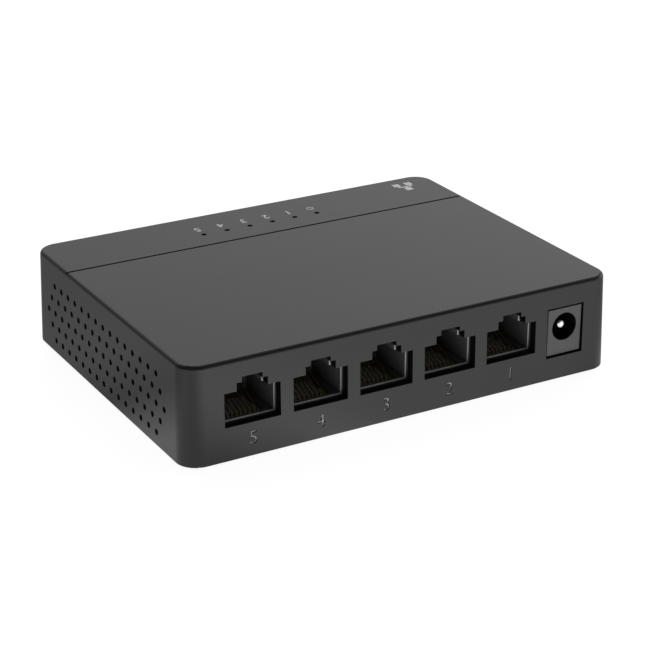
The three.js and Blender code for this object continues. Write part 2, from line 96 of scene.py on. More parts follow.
def add_box(name: str, low: Sequence[float], high: Sequence[float]) -> bpy.types.Object:
    """Add a box between two corners.

    Args:
        name: The new object's name.
        low: Its lowest corner, in metres.
        high: Its highest corner, in metres.

    Returns:
        The settled box.
    """
    bpy.ops.object.select_all(action="DESELECT")
    middle = [(a + b) / 2 for a, b in zip(low, high)]
    bpy.ops.mesh.primitive_cube_add(size=1, location=middle)
    obj = bpy.context.object
    obj.name = name
    obj.scale = [b - a for a, b in zip(low, high)]
    return settle(obj)


def add_rod(
    name: str, axis: Axis, radius: float, start: float, end: float, at: Sequence[float], sides: int = 32
) -> bpy.types.Object:
    """Add a cylinder along an axis.

    Args:
        name: The new object's name.
        axis: The axis that it lies along.
        radius: Its radius, in metres.
        start: Where it starts on that axis.
        end: Where it ends on that axis.
        at: A point on its centre line; its value on the axis isn't used.
        sides: How many sides it has.

    Returns:
        The settled cylinder.
    """
    bpy.ops.object.select_all(action="DESELECT")
    middle = list(at)
    middle[axis.value] = (start + end) / 2
    turn = {Axis.X: (0, math.pi / 2, 0), Axis.Y: (math.pi / 2, 0, 0), Axis.Z: (0, 0, 0)}[axis]
    bpy.ops.mesh.primitive_cylinder_add(
        vertices=sides, radius=radius, depth=end - start, location=middle, rotation=turn
    )
    obj = bpy.context.object
    obj.name = name
    return settle(obj)


def copy_of(obj: bpy.types.Object, name: str, move: Sequence[float]) -> bpy.types.Object:
    """Copy a settled object with a mesh of its own.

    Args:
        obj: The object to copy.
        name: The copy's name.
        move: How far the copy's mesh is moved, in metres.

    Returns:
        The copy.
    """
    made = obj.copy()
    made.data = obj.data.copy()
    made.name = name
    bpy.context.collection.objects.link(made)
    made.data.transform(Matrix.Translation(move))
    return made


def join(parts: Sequence[bpy.types.Object], name: str) -> bpy.types.Object:
    """Join objects into one.

    Args:
        parts: The objects; the first one stays.
        name: The joined object's name.

    Returns:
        The joined object.
    """
    bpy.ops.object.select_all(action="DESELECT")
    for part in parts:
        part.select_set(True)
    bpy.context.view_layer.objects.active = parts[0]
    if len(parts) > 1:
        bpy.ops.object.join()
    parts[0].name = name
    return parts[0]


def combine(target: bpy.types.Object, tool: bpy.types.Object, operation: str = "DIFFERENCE") -> None:
    """Cut a tool out of a target, or join it on, and remove the tool.

    Args:
        target: The object that is changed.
        tool: The object that is used up.
        operation: DIFFERENCE, UNION or INTERSECT.
    """
    only(target)
    modifier = target.modifiers.new("Combine", "BOOLEAN")
    modifier.operation = operation
    modifier.solver = "EXACT"
    modifier.use_self = operation == "UNION"
    modifier.object = tool
    bpy.ops.object.modifier_apply(modifier=modifier.name)
    bpy.data.objects.remove(tool)


def round_edges(obj: bpy.types.Object, width: float, segments: int, test: EdgeTest) -> None:
    """Round the edges that a test picks.

    Args:
        obj: The object to work on.
        width: The rounding's width, in metres.
        segments: How many faces go round it.
        test: Takes an edge's middle, its direction and its faces' normals.
    """
    mesh = obj.data
    normals: dict[tuple[int, int], list[Vector]] = {}
    for face in mesh.polygons:
        for key in face.edge_keys:
            normals.setdefault(key, []).append(face.normal)
    mesh.polygons.foreach_set("select", [False] * len(mesh.polygons))
    mesh.vertices.foreach_set("select", [False] * len(mesh.vertices))
    for edge in mesh.edges:
        a, b = (mesh.vertices[i].co for i in edge.vertices)
        along = (b - a).normalized()
        edge.select = test((a + b) / 2, along, normals.get(edge.key, []))
        if edge.select:
            for i in edge.vertices:
                mesh.vertices[i].select = True
    only(obj)
    bpy.context.tool_settings.mesh_select_mode = (False, True, False)
    bpy.ops.object.mode_set(mode="EDIT")
    bpy.ops.mesh.bevel(offset=width, segments=segments, profile=0.5, affect="EDGES", clamp_overlap=True)
    bpy.ops.object.mode_set(mode="OBJECT")


def pick_faces(obj: bpy.types.Object, test: FaceTest) -> None:
    """Open an object in edit mode with only the faces that a test picks selected.

    Args:
        obj: The object to work on.
        test: Takes a face's middle and its normal.
    """
    mesh = obj.data
    mesh.vertices.foreach_set("select", [False] * len(mesh.vertices))
    mesh.edges.foreach_set("select", [False] * len(mesh.edges))
    for face in mesh.polygons:
        face.select = test(face.center, face.normal)
    only(obj)
    bpy.context.tool_settings.mesh_select_mode = (False, False, True)
    bpy.ops.object.mode_set(mode="EDIT")


def upright(middle: Vector, along: Vector, normals: list[Vector]) -> bool:
    """Pick the edges that stand along Z."""
    return abs(along.z) > 0.99


def sharp(middle: Vector, along: Vector, normals: list[Vector]) -> bool:
    """Pick the edges whose two faces meet at more than a slight angle."""
    return len(normals) == 2 and normals[0].dot(normals[1]) < 0.8


def sharp_above(height: float) -> EdgeTest:
    """Return a test that picks the sharp edges at a height or over it."""
    return lambda middle, along, normals: middle.z > height - NEAR and sharp(middle, along, normals)


def sharp_below(height: float) -> EdgeTest:
    """Return a test that picks the sharp edges at a height or under it."""
    return lambda middle, along, normals: middle.z < height + NEAR and sharp(middle, along, normals)


def between(normals: list[Vector], facing: Vector) -> bool:
    """Say whether an edge runs between a face that looks one way and one across it."""
    if len(normals) != 2:
        return False
    turns = sorted(n.dot(facing) for n in normals)
    return turns[1] > 0.98 and turns[0] < 0.3


def smooth(obj: bpy.types.Object, angle: float = 32.0) -> None:
    """Shade an object smoothly except across sharp edges, with flat faces kept flat.

    Args:
        obj: The object to shade.
        angle: The least angle of a sharp edge, in degrees.
    """
    only(obj)
    bpy.ops.object.shade_smooth_by_angle(angle=math.radians(angle))
    modifier = obj.modifiers.new("Weighted", "WEIGHTED_NORMAL")
    modifier.keep_sharp = True
    modifier.weight = 100
    bpy.ops.object.modifier_apply(modifier=modifier.name)


def tidy_mesh(obj: bpy.types.Object, merge: float = 0.002 * MM) -> None:
    """Merge doubled vertices and turn all faces outwards.

    Args:
        obj: The object to clean.
        merge: How close two vertices are to be one, in metres.
    """
    only(obj)
    bpy.ops.object.mode_set(mode="EDIT")
    bpy.ops.mesh.select_all(action="SELECT")
    bpy.ops.mesh.remove_doubles(threshold=merge)
    bpy.ops.mesh.normals_make_consistent(inside=False)
    bpy.ops.object.mode_set(mode="OBJECT")


# ---- Finishes ----------------------------------------------------------------------------------


@dataclass(frozen=True)
class Finish:
    """A moulded or plated surface with a fine grain.

    Attributes:
        name: The material's name.
        colour: Its base colour, linear.
        roughness: Its mean roughness.
        metallic: 1 for bare metal.
        grain: The grain's spacing, in metres.
        relief: The grain's depth, in metres.
        mottle: How far colour and roughness wander, as a share.
        specular: The shader's specular level.
        transmission: How clear it is.
    """

    name: str
    colour: tuple[float, float, float]
    roughness: float
    metallic: float = 0.0
    grain: float = 0.15 * MM
    relief: float = 0.004 * MM
    mottle: float = 0.12
    specular: float = 0.5
    transmission: float = 0.0

    def material(self) -> bpy.types.Material:
        """Build the material, or return it if it has been built."""
        known = bpy.data.materials.get(self.name)
        if known:
            return known
        made = bpy.data.materials.new(self.name)
        made.use_nodes = True
        tree = made.node_tree
        shader = tree.nodes["Principled BSDF"]
        shader.inputs["Metallic"].default_value = self.metallic
        shader.inputs["Specular IOR Level"].default_value = self.specular
        shader.inputs["Transmission Weight"].default_value = self.transmission
        coordinates = tree.nodes.new("ShaderNodeTexCoord")
        fine = self._noise(tree, coordinates, 1 / self.grain, 2.0)
        broad = self._noise(tree, coordinates, 1 / (60 * self.grain), 3.0)
        tree.links.new(self._wander(tree, broad), shader.inputs["Roughness"])
        tree.links.new(self._tint(tree, broad), shader.inputs["Base Color"])
        bump = tree.nodes.new("ShaderNodeBump")
        bump.inputs["Distance"].default_value = self.relief
        bump.inputs["Strength"].default_value = 1.0
        tree.links.new(fine, bump.inputs["Height"])
        tree.links.new(bump.outputs["Normal"], shader.inputs["Normal"])
        return made

    def _noise(
        self, tree: bpy.types.NodeTree, coordinates: bpy.types.Node, scale: float, detail: float
    ) -> bpy.types.NodeSocket:
        """Add a noise on object coordinates and return its value."""
        noise = tree.nodes.new("ShaderNodeTexNoise")
        noise.inputs["Scale"].default_value = scale
        noise.inputs["Detail"].default_value = detail
        tree.links.new(coordinates.outputs["Object"], noise.inputs["Vector"])
        return noise.outputs["Fac"]

    def _wander(self, tree: bpy.types.NodeTree, noise: bpy.types.NodeSocket) -> bpy.types.NodeSocket:
        """Return the roughness, moved a little either way by a noise."""
        spread = tree.nodes.new("ShaderNodeMapRange")
        spread.inputs["To Min"].default_value = self.roughness * (1 - self.mottle)
        spread.inputs["To Max"].default_value = min(1.0, self.roughness * (1 + self.mottle))
        tree.links.new(noise, spread.inputs["Value"])
        return spread.outputs["Result"]

    def _tint(self, tree: bpy.types.NodeTree, noise: bpy.types.NodeSocket) -> bpy.types.NodeSocket:
        """Return the colour, darker and lighter by turns with a noise."""
        ramp = tree.nodes.new("ShaderNodeValToRGB")
        for element, share in zip(ramp.color_ramp.elements, (1 - self.mottle, 1 + self.mottle)):
            element.color = (*(min(1.0, channel * share) for channel in self.colour), 1.0)
        tree.links.new(noise, ramp.inputs["Fac"])
        return ramp.outputs["Color"]


@dataclass(frozen=True)
class BoardFinish(Finish):
    """Solder mask over copper tracks: lighter lines where the copper runs under the lacquer.

    Attributes:
        track: The spacing of the tracks, in metres.
        copper: The mask's colour over copper.
    """

    track: float = 1.1 * MM
    copper: tuple[float, float, float] = (0.03, 0.22, 0.09)

    def _tint(self, tree: bpy.types.NodeTree, noise: bpy.types.NodeSocket) -> bpy.types.NodeSocket:
        """Return the mask's colour with track lines showing through."""
        coordinates = next(n for n in tree.nodes if n.type == "TEX_COORD")
        bricks = tree.nodes.new("ShaderNodeTexBrick")
        bricks.offset = 0.37
        bricks.inputs["Color1"].default_value = (*self.colour, 1.0)
        bricks.inputs["Color2"].default_value = (*(c * 0.85 for c in self.colour), 1.0)
        bricks.inputs["Mortar"].default_value = (*self.copper, 1.0)
        bricks.inputs["Scale"].default_value = 1.0
        bricks.inputs["Mortar Size"].default_value = 0.12 * self.track
        bricks.inputs["Brick Width"].default_value = 9 * self.track
        bricks.inputs["Row Height"].default_value = self.track
        tree.links.new(coordinates.outputs["Object"], bricks.inputs["Vector"])
        return bricks.outputs["Color"]


CASE_BLACK = Finish(
    "case black", (0.0125, 0.0125, 0.0125), 0.3, grain=0.16 * MM, relief=0.005 * MM, mottle=0.04
)
PORT_BLACK = Finish("port black", (0.12, 0.12, 0.12), 0.8, grain=0.3 * MM, relief=0.003 * MM, specular=0.1)
# Pale grey on the bed under the wires: painted light that lifts the shade inside the socket.
PORT_BED_PAINTED_LIGHT = Finish("port bed painted light", (0.8, 0.8, 0.8), 0.6, grain=0.3 * MM, relief=0.003 * MM, specular=0.25)
# Light grey on the rounded rim of each socket mouth: a painted highlight line.
PORT_RIM_PAINTED_HIGHLIGHT = Finish("port rim painted highlight", (0.55, 0.55, 0.55), 0.4, grain=0.3 * MM, relief=0.001 * MM)
# Light grey on the engraved digits' floors: painted light on faces that lie in shade.
DIGIT_FLOOR_PAINTED_LIGHT = Finish("digit floor painted light", (0.55, 0.55, 0.55), 0.5, grain=0.3 * MM, relief=0.001 * MM)
SOCKET_BLACK = Finish(
    "socket black", (0.093, 0.093, 0.093), 0.42, grain=0.3 * MM, relief=0.003 * MM, mottle=0.05
)
# Polished pin end, whitened beyond steel: a painted highlight on top of a real polish.
PIN_END_PAINTED_HIGHLIGHT = Finish("pin end painted highlight", (0.98, 0.98, 0.98), 0.15, 1.0, grain=0.3 * MM, relief=0.001 * MM)
# Near black on the power socket's bore and the walls of the case openings: painted shade in recesses.
RECESS_PAINTED_SHADE = Finish("recess painted shade", (0.004, 0.004, 0.004), 0.5, grain=0.3 * MM, relief=0.003 * MM, specular=0.2)
FOOT_RUBBER = Finish("foot rubber", (0.014, 0.014, 0.014), 0.8, grain=0.35 * MM, relief=0.02 * MM)
INK = Finish("silver ink", (0.85, 0.85, 0.85), 0.45, 0.6, grain=0.1 * MM, relief=0.001 * MM, mottle=0.05)
STEEL = Finish("bright steel", (0.72, 0.73, 0.74), 0.22, 1.0, grain=0.2 * MM, relief=0.001 * MM)
# Gold plating darkened well below its own colour: painted shade of the socket's dark cavity.
GOLD_WITH_PAINTED_SHADE = Finish("gold plate with painted shade", (0.42, 0.31, 0.13), 0.4, 1.0, grain=0.1 * MM, relief=0.001 * MM)
CHIP_RESIN = Finish("chip resin", (0.02, 0.02, 0.021), 0.6, grain=0.12 * MM, relief=0.01 * MM)
ALUMINIUM = Finish("can aluminium", (0.75, 0.76, 0.78), 0.35, 1.0, grain=0.3 * MM, relief=0.002 * MM)
FERRITE = Finish("ferrite", (0.05, 0.05, 0.053), 0.75, grain=0.2 * MM, relief=0.02 * MM)
SMOKED = Finish("smoked guide", (0.05, 0.05, 0.052), 0.2, grain=0.5 * MM, relief=0.001 * MM, transmission=0.3)
LAMP_RESIN = Finish("lamp resin", (0.8, 0.76, 0.5), 0.3, grain=0.2 * MM, relief=0.001 * MM)
SOLDER_MASK = BoardFinish("solder mask", (0.012, 0.11, 0.045), 0.35, grain=0.3 * MM, relief=0.004 * MM)


def dress(obj: bpy.types.Object, finish: Finish) -> None:
    """Give an object one finish all over.

    Args:
        obj: The object.
        finish: Its finish.
    """
    material = finish.material()
    obj.data.materials.clear()
    obj.data.materials.append(material)


def dress_faces(obj: bpy.types.Object, finish: Finish, test: FaceTest) -> None:
    """Give the faces that a test picks a second finish.

    Args:
        obj: The object, which has its own finish already.
        finish: The second finish.
        test: Takes a face's middle and its normal.
    """
    obj.data.materials.append(finish.material())
    for face in obj.data.polygons:
        if test(face.center, face.normal):
            face.material_index = len(obj.data.materials) - 1


def hand_over(
    obj: bpy.types.Object, finish: Finish, body: str = CASE_BODY, replaced: Iterable[str] = ()
) -> None:
    """Finish a piece: dress it, put it on its body and hide the CAD nodes that it stands for.

    Args:
        obj: The piece.
        finish: Its finish.
        body: The body that it rides on.
        replaced: The CAD nodes that it stands for.
    """
    dress(obj, finish)
    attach(obj, body)
    if replaced:
        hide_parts(*replaced)
    log.info("%s: %d faces, rides on %s", obj.name, len(obj.data.polygons), body)


# ---- Case --------------------------------------------------------------------------------------


@dataclass
class TopCover:
    """The moulded top cover, with its openings, groove, vents and marks."""

    wall: float = 2.0 * MM
    lean: float = 0.5 * MM
    corner: float = 4.7 * MM
    top_round: float = 0.8 * MM
    foot_round: float = 0.25 * MM
    opening_width: float = 12.75 * MM
    opening_height: float = 7.44 * MM
    opening_sill: float = 2.0 * MM
    step_widths: tuple[float, float] = (7.0 * MM, 4.63 * MM)
    step_heights: tuple[float, float] = (1.79 * MM, 1.15 * MM)
    lip: float = 0.25 * MM
    power_gap: float = 0.3 * MM
    groove_from_back: float = 19.2 * MM
    groove_width: float = 0.6 * MM
    groove_depth: float = 0.4 * MM
    vent_pitch: float = 3.8 * MM
    vent_radius: float = 0.68 * MM
    vent_rows: tuple[int, ...] = (15, 16, 17, 16, 15)
    vent_height: float = 9.7 * MM
    vent_offset: float = 0.7 * MM
    lamp_radius: float = 0.63 * MM
    headroom: float = 0.84 * MM
    ceiling_round: float = 0.4 * MM
    cut_past: float = 1.2 * MM
    softened: float = 0.1 * MM
    ink_height: float = 0.02 * MM
    digit_height: float = 2.9 * MM
    digit_rise: float = 4.05 * MM
    digit_depth: float = 0.3 * MM
    digit_proud: float = 0.5 * MM
    label_height: float = 2.2 * MM
    label_behind: float = 3.4 * MM
    sign_place: tuple[float, float] = (43.4 * MM, 32.7 * MM)
    sign_size: float = 5.2 * MM
    low: Vector = field(default_factory=lambda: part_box("top_cover")[0])
    high: Vector = field(default_factory=lambda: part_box("top_cover")[1])

    @property
    def digits(self) -> float:
        """The height that the engraved digits end below."""
        return self.low.z + self.digit_rise + 0.6 * self.digit_height

    @property
    def roof(self) -> float:
        """The height of the roof, just under the ink that is printed on it."""
        return self.high.z - self.ink_height

    def build(self) -> None:
        """Model the cover, cut its openings, and print and engrave its marks."""
        shell = self._shell()
        for port in range(1, PORTS + 1):
            combine(shell, self._socket_tool(port))
        combine(shell, self._power_tool())
        combine(shell, self._groove_tool())
        combine(shell, self._hole_tools())
        for port in range(1, PORTS + 1):
            combine(shell, self._digit_tool(port))
        self._soften(shell)
        smooth(shell)
        hand_over(shell, CASE_BLACK, replaced=["top_cover"])
        # Painted shade: the walls of the front openings get a near-black finish.
        dress_faces(shell, RECESS_PAINTED_SHADE, self._in_a_cut)
        # Painted light: the digits' floors get a light grey finish.
        dress_faces(shell, DIGIT_FLOOR_PAINTED_LIGHT, self._digit_floor)
        self._labels()

    def _in_a_cut(self, middle: Vector, normal: Vector) -> bool:
        """Say whether a face is the shaded wall of an opening in the front."""
        depth = middle.y - self.low.y
        in_wall = 0.5 * self.digit_depth < depth < self.wall + self.lean + self.softened
        return in_wall and abs(normal.y) < 0.3 and middle.z > self.digits

    def _shell(self) -> bpy.types.Object:
        """Return the drafted, rounded shell with its hollow."""
        outer = self._drafted("cover_shell", 0.0, self.low.z, self.roof, self.corner)
        round_edges(outer, self.top_round, 5, sharp_above(self.roof))
        round_edges(outer, self.foot_round, 3, sharp_below(self.low.z))
        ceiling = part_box("port_1_housing")[1].z + self.headroom
        inner_corner = self.corner - self.wall
        inner = self._drafted("hollow", self.wall, self.low.z - OVER, ceiling, inner_corner)
        round_edges(inner, self.ceiling_round, 2, sharp_above(ceiling))
        combine(outer, inner)
        return outer

    def _drafted(self, name: str, inset: float, foot: float, top: float, corner: float) -> bpy.types.Object:
        """Return a block with round corners whose sides lean in towards the top.

        Args:
            name: The block's name.
            inset: How far inside the cover's outline it is.
            foot: Its lowest height.
            top: Its highest height.
            corner: The radius of its upright corners.
        """
        half = Vector(((self.high.x - self.low.x) / 2 - inset, (self.high.y - self.low.y) / 2 - inset))
        box = add_box(name, (-half.x, -half.y, foot), (half.x, half.y, top))
        round_edges(box, corner, 12, upright)
        for z, side in ((top, 1), (foot, -1)):
            inward = self.lean * (z - self.low.z) / (self.high.z - self.low.z)
            pick_faces(box, lambda middle, normal: side * normal.z > 0.9)
            shrink = (1 - inward / half.x, 1 - inward / half.y, 1)
            bpy.ops.transform.resize(value=shrink, center_override=(0, 0, z))
            bpy.ops.object.mode_set(mode="OBJECT")
        return box

    def _socket_tool(self, port: int) -> bpy.types.Object:
        """Return the stepped tool that opens the case before one network socket."""
        low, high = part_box(f"port_{port}_housing")
        return stepped_tool(
            f"opening_{port}",
            (low.x + high.x) / 2,
            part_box("circuit_board")[1].z + self.opening_sill,
            (self.opening_width, *self.step_widths),
            (self.opening_height, *self.step_heights),
            self.low.y - OVER,
            self.low.y + self.wall + self.cut_past,
        )

    def _power_tool(self) -> bpy.types.Object:
        """Return the tool that opens the case before the power socket."""
        low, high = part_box("power_socket_housing")
        gap = self.power_gap
        return add_box(
            "power_opening",
            (low.x - gap, self.low.y - OVER, low.z - gap),
            (high.x + gap, self.low.y + self.wall + self.cut_past, high.z + gap),
        )

    def _groove_tool(self) -> bpy.types.Object:
        """Return the bar that cuts the groove across the roof."""
        y = self.high.y - self.groove_from_back
        half = self.groove_width / 2
        return add_box(
            "groove",
            (self.low.x - OVER, y - half, self.roof - self.groove_depth),
            (self.high.x + OVER, y + half, self.roof + OVER),
        )

    def _hole_tools(self) -> bpy.types.Object:
        """Return the rods that cut the side vents and the lamp holes, as one tool."""
        rods = []
        row_pitch = self.vent_pitch * math.sqrt(3) / 2
        first = add_rod("vent", Axis.X, self.vent_radius, -self.wall, self.wall, (0, 0, 0), 16)
        for row, count in enumerate(self.vent_rows):
            z = self.low.z + self.vent_height + (2 - row) * row_pitch
            for place in spread(count, self.vent_pitch):
                for side in (self.low.x + self.wall / 2, self.high.x - self.wall / 2):
                    rods.append(copy_of(first, "vent_tool", (side, self.vent_offset + place, z)))
        bpy.data.objects.remove(first)
        for lamp in lamp_names():
            low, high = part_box(lamp)
            at = ((low.x + high.x) / 2, (low.y + high.y) / 2, 0)
            start = self.roof - 2 * self.wall
            rods.append(add_rod("lamp_tool", Axis.Z, self.lamp_radius, start, self.roof + OVER, at, 24))
        return join(rods, "holes")

    def _digit_floor(self, middle: Vector, normal: Vector) -> bool:
        """Tell whether a face is the floor of an engraved digit."""
        surface = self.low.y + self.lean * (middle.z - self.low.z) / (self.high.z - self.low.z)
        deep = 0.5 * self.digit_depth < middle.y - surface < 2 * self.digit_depth
        return deep and normal.y < -0.9 and middle.z < self.digits

    def _digit_tool(self, port: int) -> bpy.types.Object:
        """Return a port's number as a tool that engraves it under the socket."""
        low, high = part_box(f"port_{port}_housing")
        z = self.low.z + self.digit_rise
        surface = self.low.y + self.lean * self.digit_rise / (self.high.z - self.low.z)
        depth = self.digit_depth + self.digit_proud
        digit = lettering(f"digit_{port}", str(port), self.digit_height, depth)
        digit.rotation_euler = (math.pi / 2, 0, 0)
        digit.location = ((low.x + high.x) / 2, surface + (self.digit_depth - self.digit_proud) / 2, z)
        return settle(digit)

    def _soften(self, shell: bpy.types.Object) -> None:
        """Break the sharp edges of the openings, the groove and the holes."""
        foot = self.low.z + self.wall - self.lean
        front = self.low.y + OVER
        round_edges(
            shell, self.softened, 2, lambda m, a, n: m.y < front and m.z > self.digits and between(n, OUT)
        )
        left, right = self.low.x + 1.2 * OVER, self.high.x - 1.2 * OVER
        ends = ((-1, -left), (1, right))
        round_edges(
            shell,
            1.2 * self.softened,
            2,
            lambda m, a, n: m.z > foot
            and any(side * m.x > limit and between(n, Vector((side, 0, 0))) for side, limit in ends),
        )
        roof = self.roof - NEAR
        round_edges(shell, 0.7 * self.softened, 2, lambda m, a, n: m.z > roof and between(n, UP))

    def _labels(self) -> None:
        """Print the lamps' numbers, the power sign and the network sign on the roof."""
        for lamp in lamp_names():
            low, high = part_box(lamp)
            x, y = (low.x + high.x) / 2, (low.y + high.y) / 2 + self.label_behind
            if lamp == "lamp_power":
                label = power_sign("label_power", self.label_height, self.ink_height)
            else:
                digit = lamp[-1]
                label = lettering(f"label_{digit}", digit, self.label_height, self.ink_height, 0.04 * MM)
            self._print(label, x, y)
        self._print(network_sign("label_network", self.sign_size, self.ink_height), *self.sign_place)

    def _print(self, label: bpy.types.Object, x: float, y: float) -> None:
        """Lay a sign on the roof, to be read from behind the switch."""
        label.rotation_euler = (0, 0, math.pi)
        label.location = (x, y, self.roof + self.ink_height / 2)
        settle(label)
        hand_over(label, INK)


def stepped_tool(
    name: str,
    x: float,
    sill: float,
    widths: Sequence[float],
    heights: Sequence[float],
    front: float,
    back: float,
) -> bpy.types.Object:
    """Make a tool with a network socket's stepped outline.

    Args:
        name: The tool's name.
        x: Its middle.
        sill: The height that it starts at.
        widths: The width of each step, from the widest up.
        heights: The height of each step.
        front: Where it starts along Y.
        back: Where it ends along Y.

    Returns:
        One closed tool.
    """
    top = sill + heights[0]
    tool = add_box(name, (x - widths[0] / 2, front, sill), (x + widths[0] / 2, back, top))
    for width, height in zip(widths[1:], heights[1:]):
        low, high = (x - width / 2, front, top - OVER), (x + width / 2, back, top + height)
        combine(tool, add_box(name + "_step", low, high), "UNION")
        top += height
    return tool


def lettering(name: str, words: str, height: float, depth: float, bold: float = 0.0) -> bpy.types.Object:
    """Make a number as a flat solid about the origin.

    Args:
        name: The object's name.
        words: The characters.
        height: Their height, in metres.
        depth: How thick they are.
        bold: How far each stroke is widened, in metres.

    Returns:
        The lettering as a mesh, centred on the origin.
    """
    bpy.ops.object.select_all(action="DESELECT")
    bpy.ops.object.text_add()
    obj = bpy.context.object
    obj.name = name
    obj.data.body = words
    obj.data.align_x = "CENTER"
    obj.data.resolution_u = 6
    bpy.context.view_layer.update()
    obj.data.size = height / obj.dimensions.y
    obj.data.extrude = depth / 2
    obj.data.offset = bold
    bpy.context.view_layer.update()
    only(obj)
    bpy.ops.object.convert(target="MESH")
    corners = [v.co for v in obj.data.vertices]
    middle = [-(min(c[i] for c in corners) + max(c[i] for c in corners)) / 2 for i in range(3)]
    obj.data.transform(Matrix.Translation(middle))
    tidy_mesh(obj)
    return obj


def power_sign(name: str, height: float, depth: float) -> bpy.types.Object:
    """Make the usual on-off sign, a broken ring with a bar in the gap.

    Args:
        name: The object's name.
        height: Its height, in metres.
        depth: How thick it is.

    Returns:
        The sign, centred on the origin.
    """
    line = 0.12 * height
    radius = 0.42 * height
    ring = add_rod(name, Axis.Z, radius, -depth / 2, depth / 2, (0, 0, 0), 40)
    combine(ring, add_rod("ring_inside", Axis.Z, radius - line, -depth, depth, (0, 0, 0), 40))
    combine(ring, add_box("ring_gap", (-1.7 * line, 0, -depth), (1.7 * line, height, depth)))
    bar = add_box("bar", (-line / 2, 0.1 * height, -depth / 2), (line / 2, 0.56 * height, depth / 2))
    return join([ring, bar], name)


def network_sign(name: str, height: float, depth: float) -> bpy.types.Object:
    """Make a plain network sign: three linked squares.

    Args:
        name: The object's name.
        height: Its height, in metres.
        depth: How thick it is.

    Returns:
        The sign, centred on the origin.
    """
    half, box, line = height / 2, 0.18 * height, 0.055 * height

    def bar(x0: float, x1: float, y0: float, y1: float) -> bpy.types.Object:
        """Return one flat bar of the sign."""
        return add_box(name + "_bar", (x0, y0, -depth / 2), (x1, y1, depth / 2))

    sign = bar(-box, box, half - 2 * box, half)
    parts = [
        bar(-line, line, 0, half - 1.5 * box),
        bar(-half + box - line, half - box + line, -line, line),
    ]
    for x in (-half + box, half - box):
        parts.append(bar(x - line, x + line, -half + 1.5 * box, 0))
        parts.append(bar(x - box, x + box, -half, -half + 2 * box))
    for part in parts:
        combine(sign, part, "UNION")
    sign.name = name
    return sign


def spread(count: int, pitch: float) -> list[float]:
    """Return evenly spaced places about zero."""
    return [(i - (count - 1) / 2) * pitch for i in range(count)]


def span(node: str) -> tuple[Vector, Vector, Vector]:
    """Return a CAD node's lowest corner, highest corner and middle."""
    low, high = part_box(node)
    return low, high, (low + high) / 2


def lamp_names() -> list[str]:
    """Return the lamps' node names, power first."""
    return ["lamp_power"] + [f"lamp_{i}" for i in range(1, PORTS + 1)]


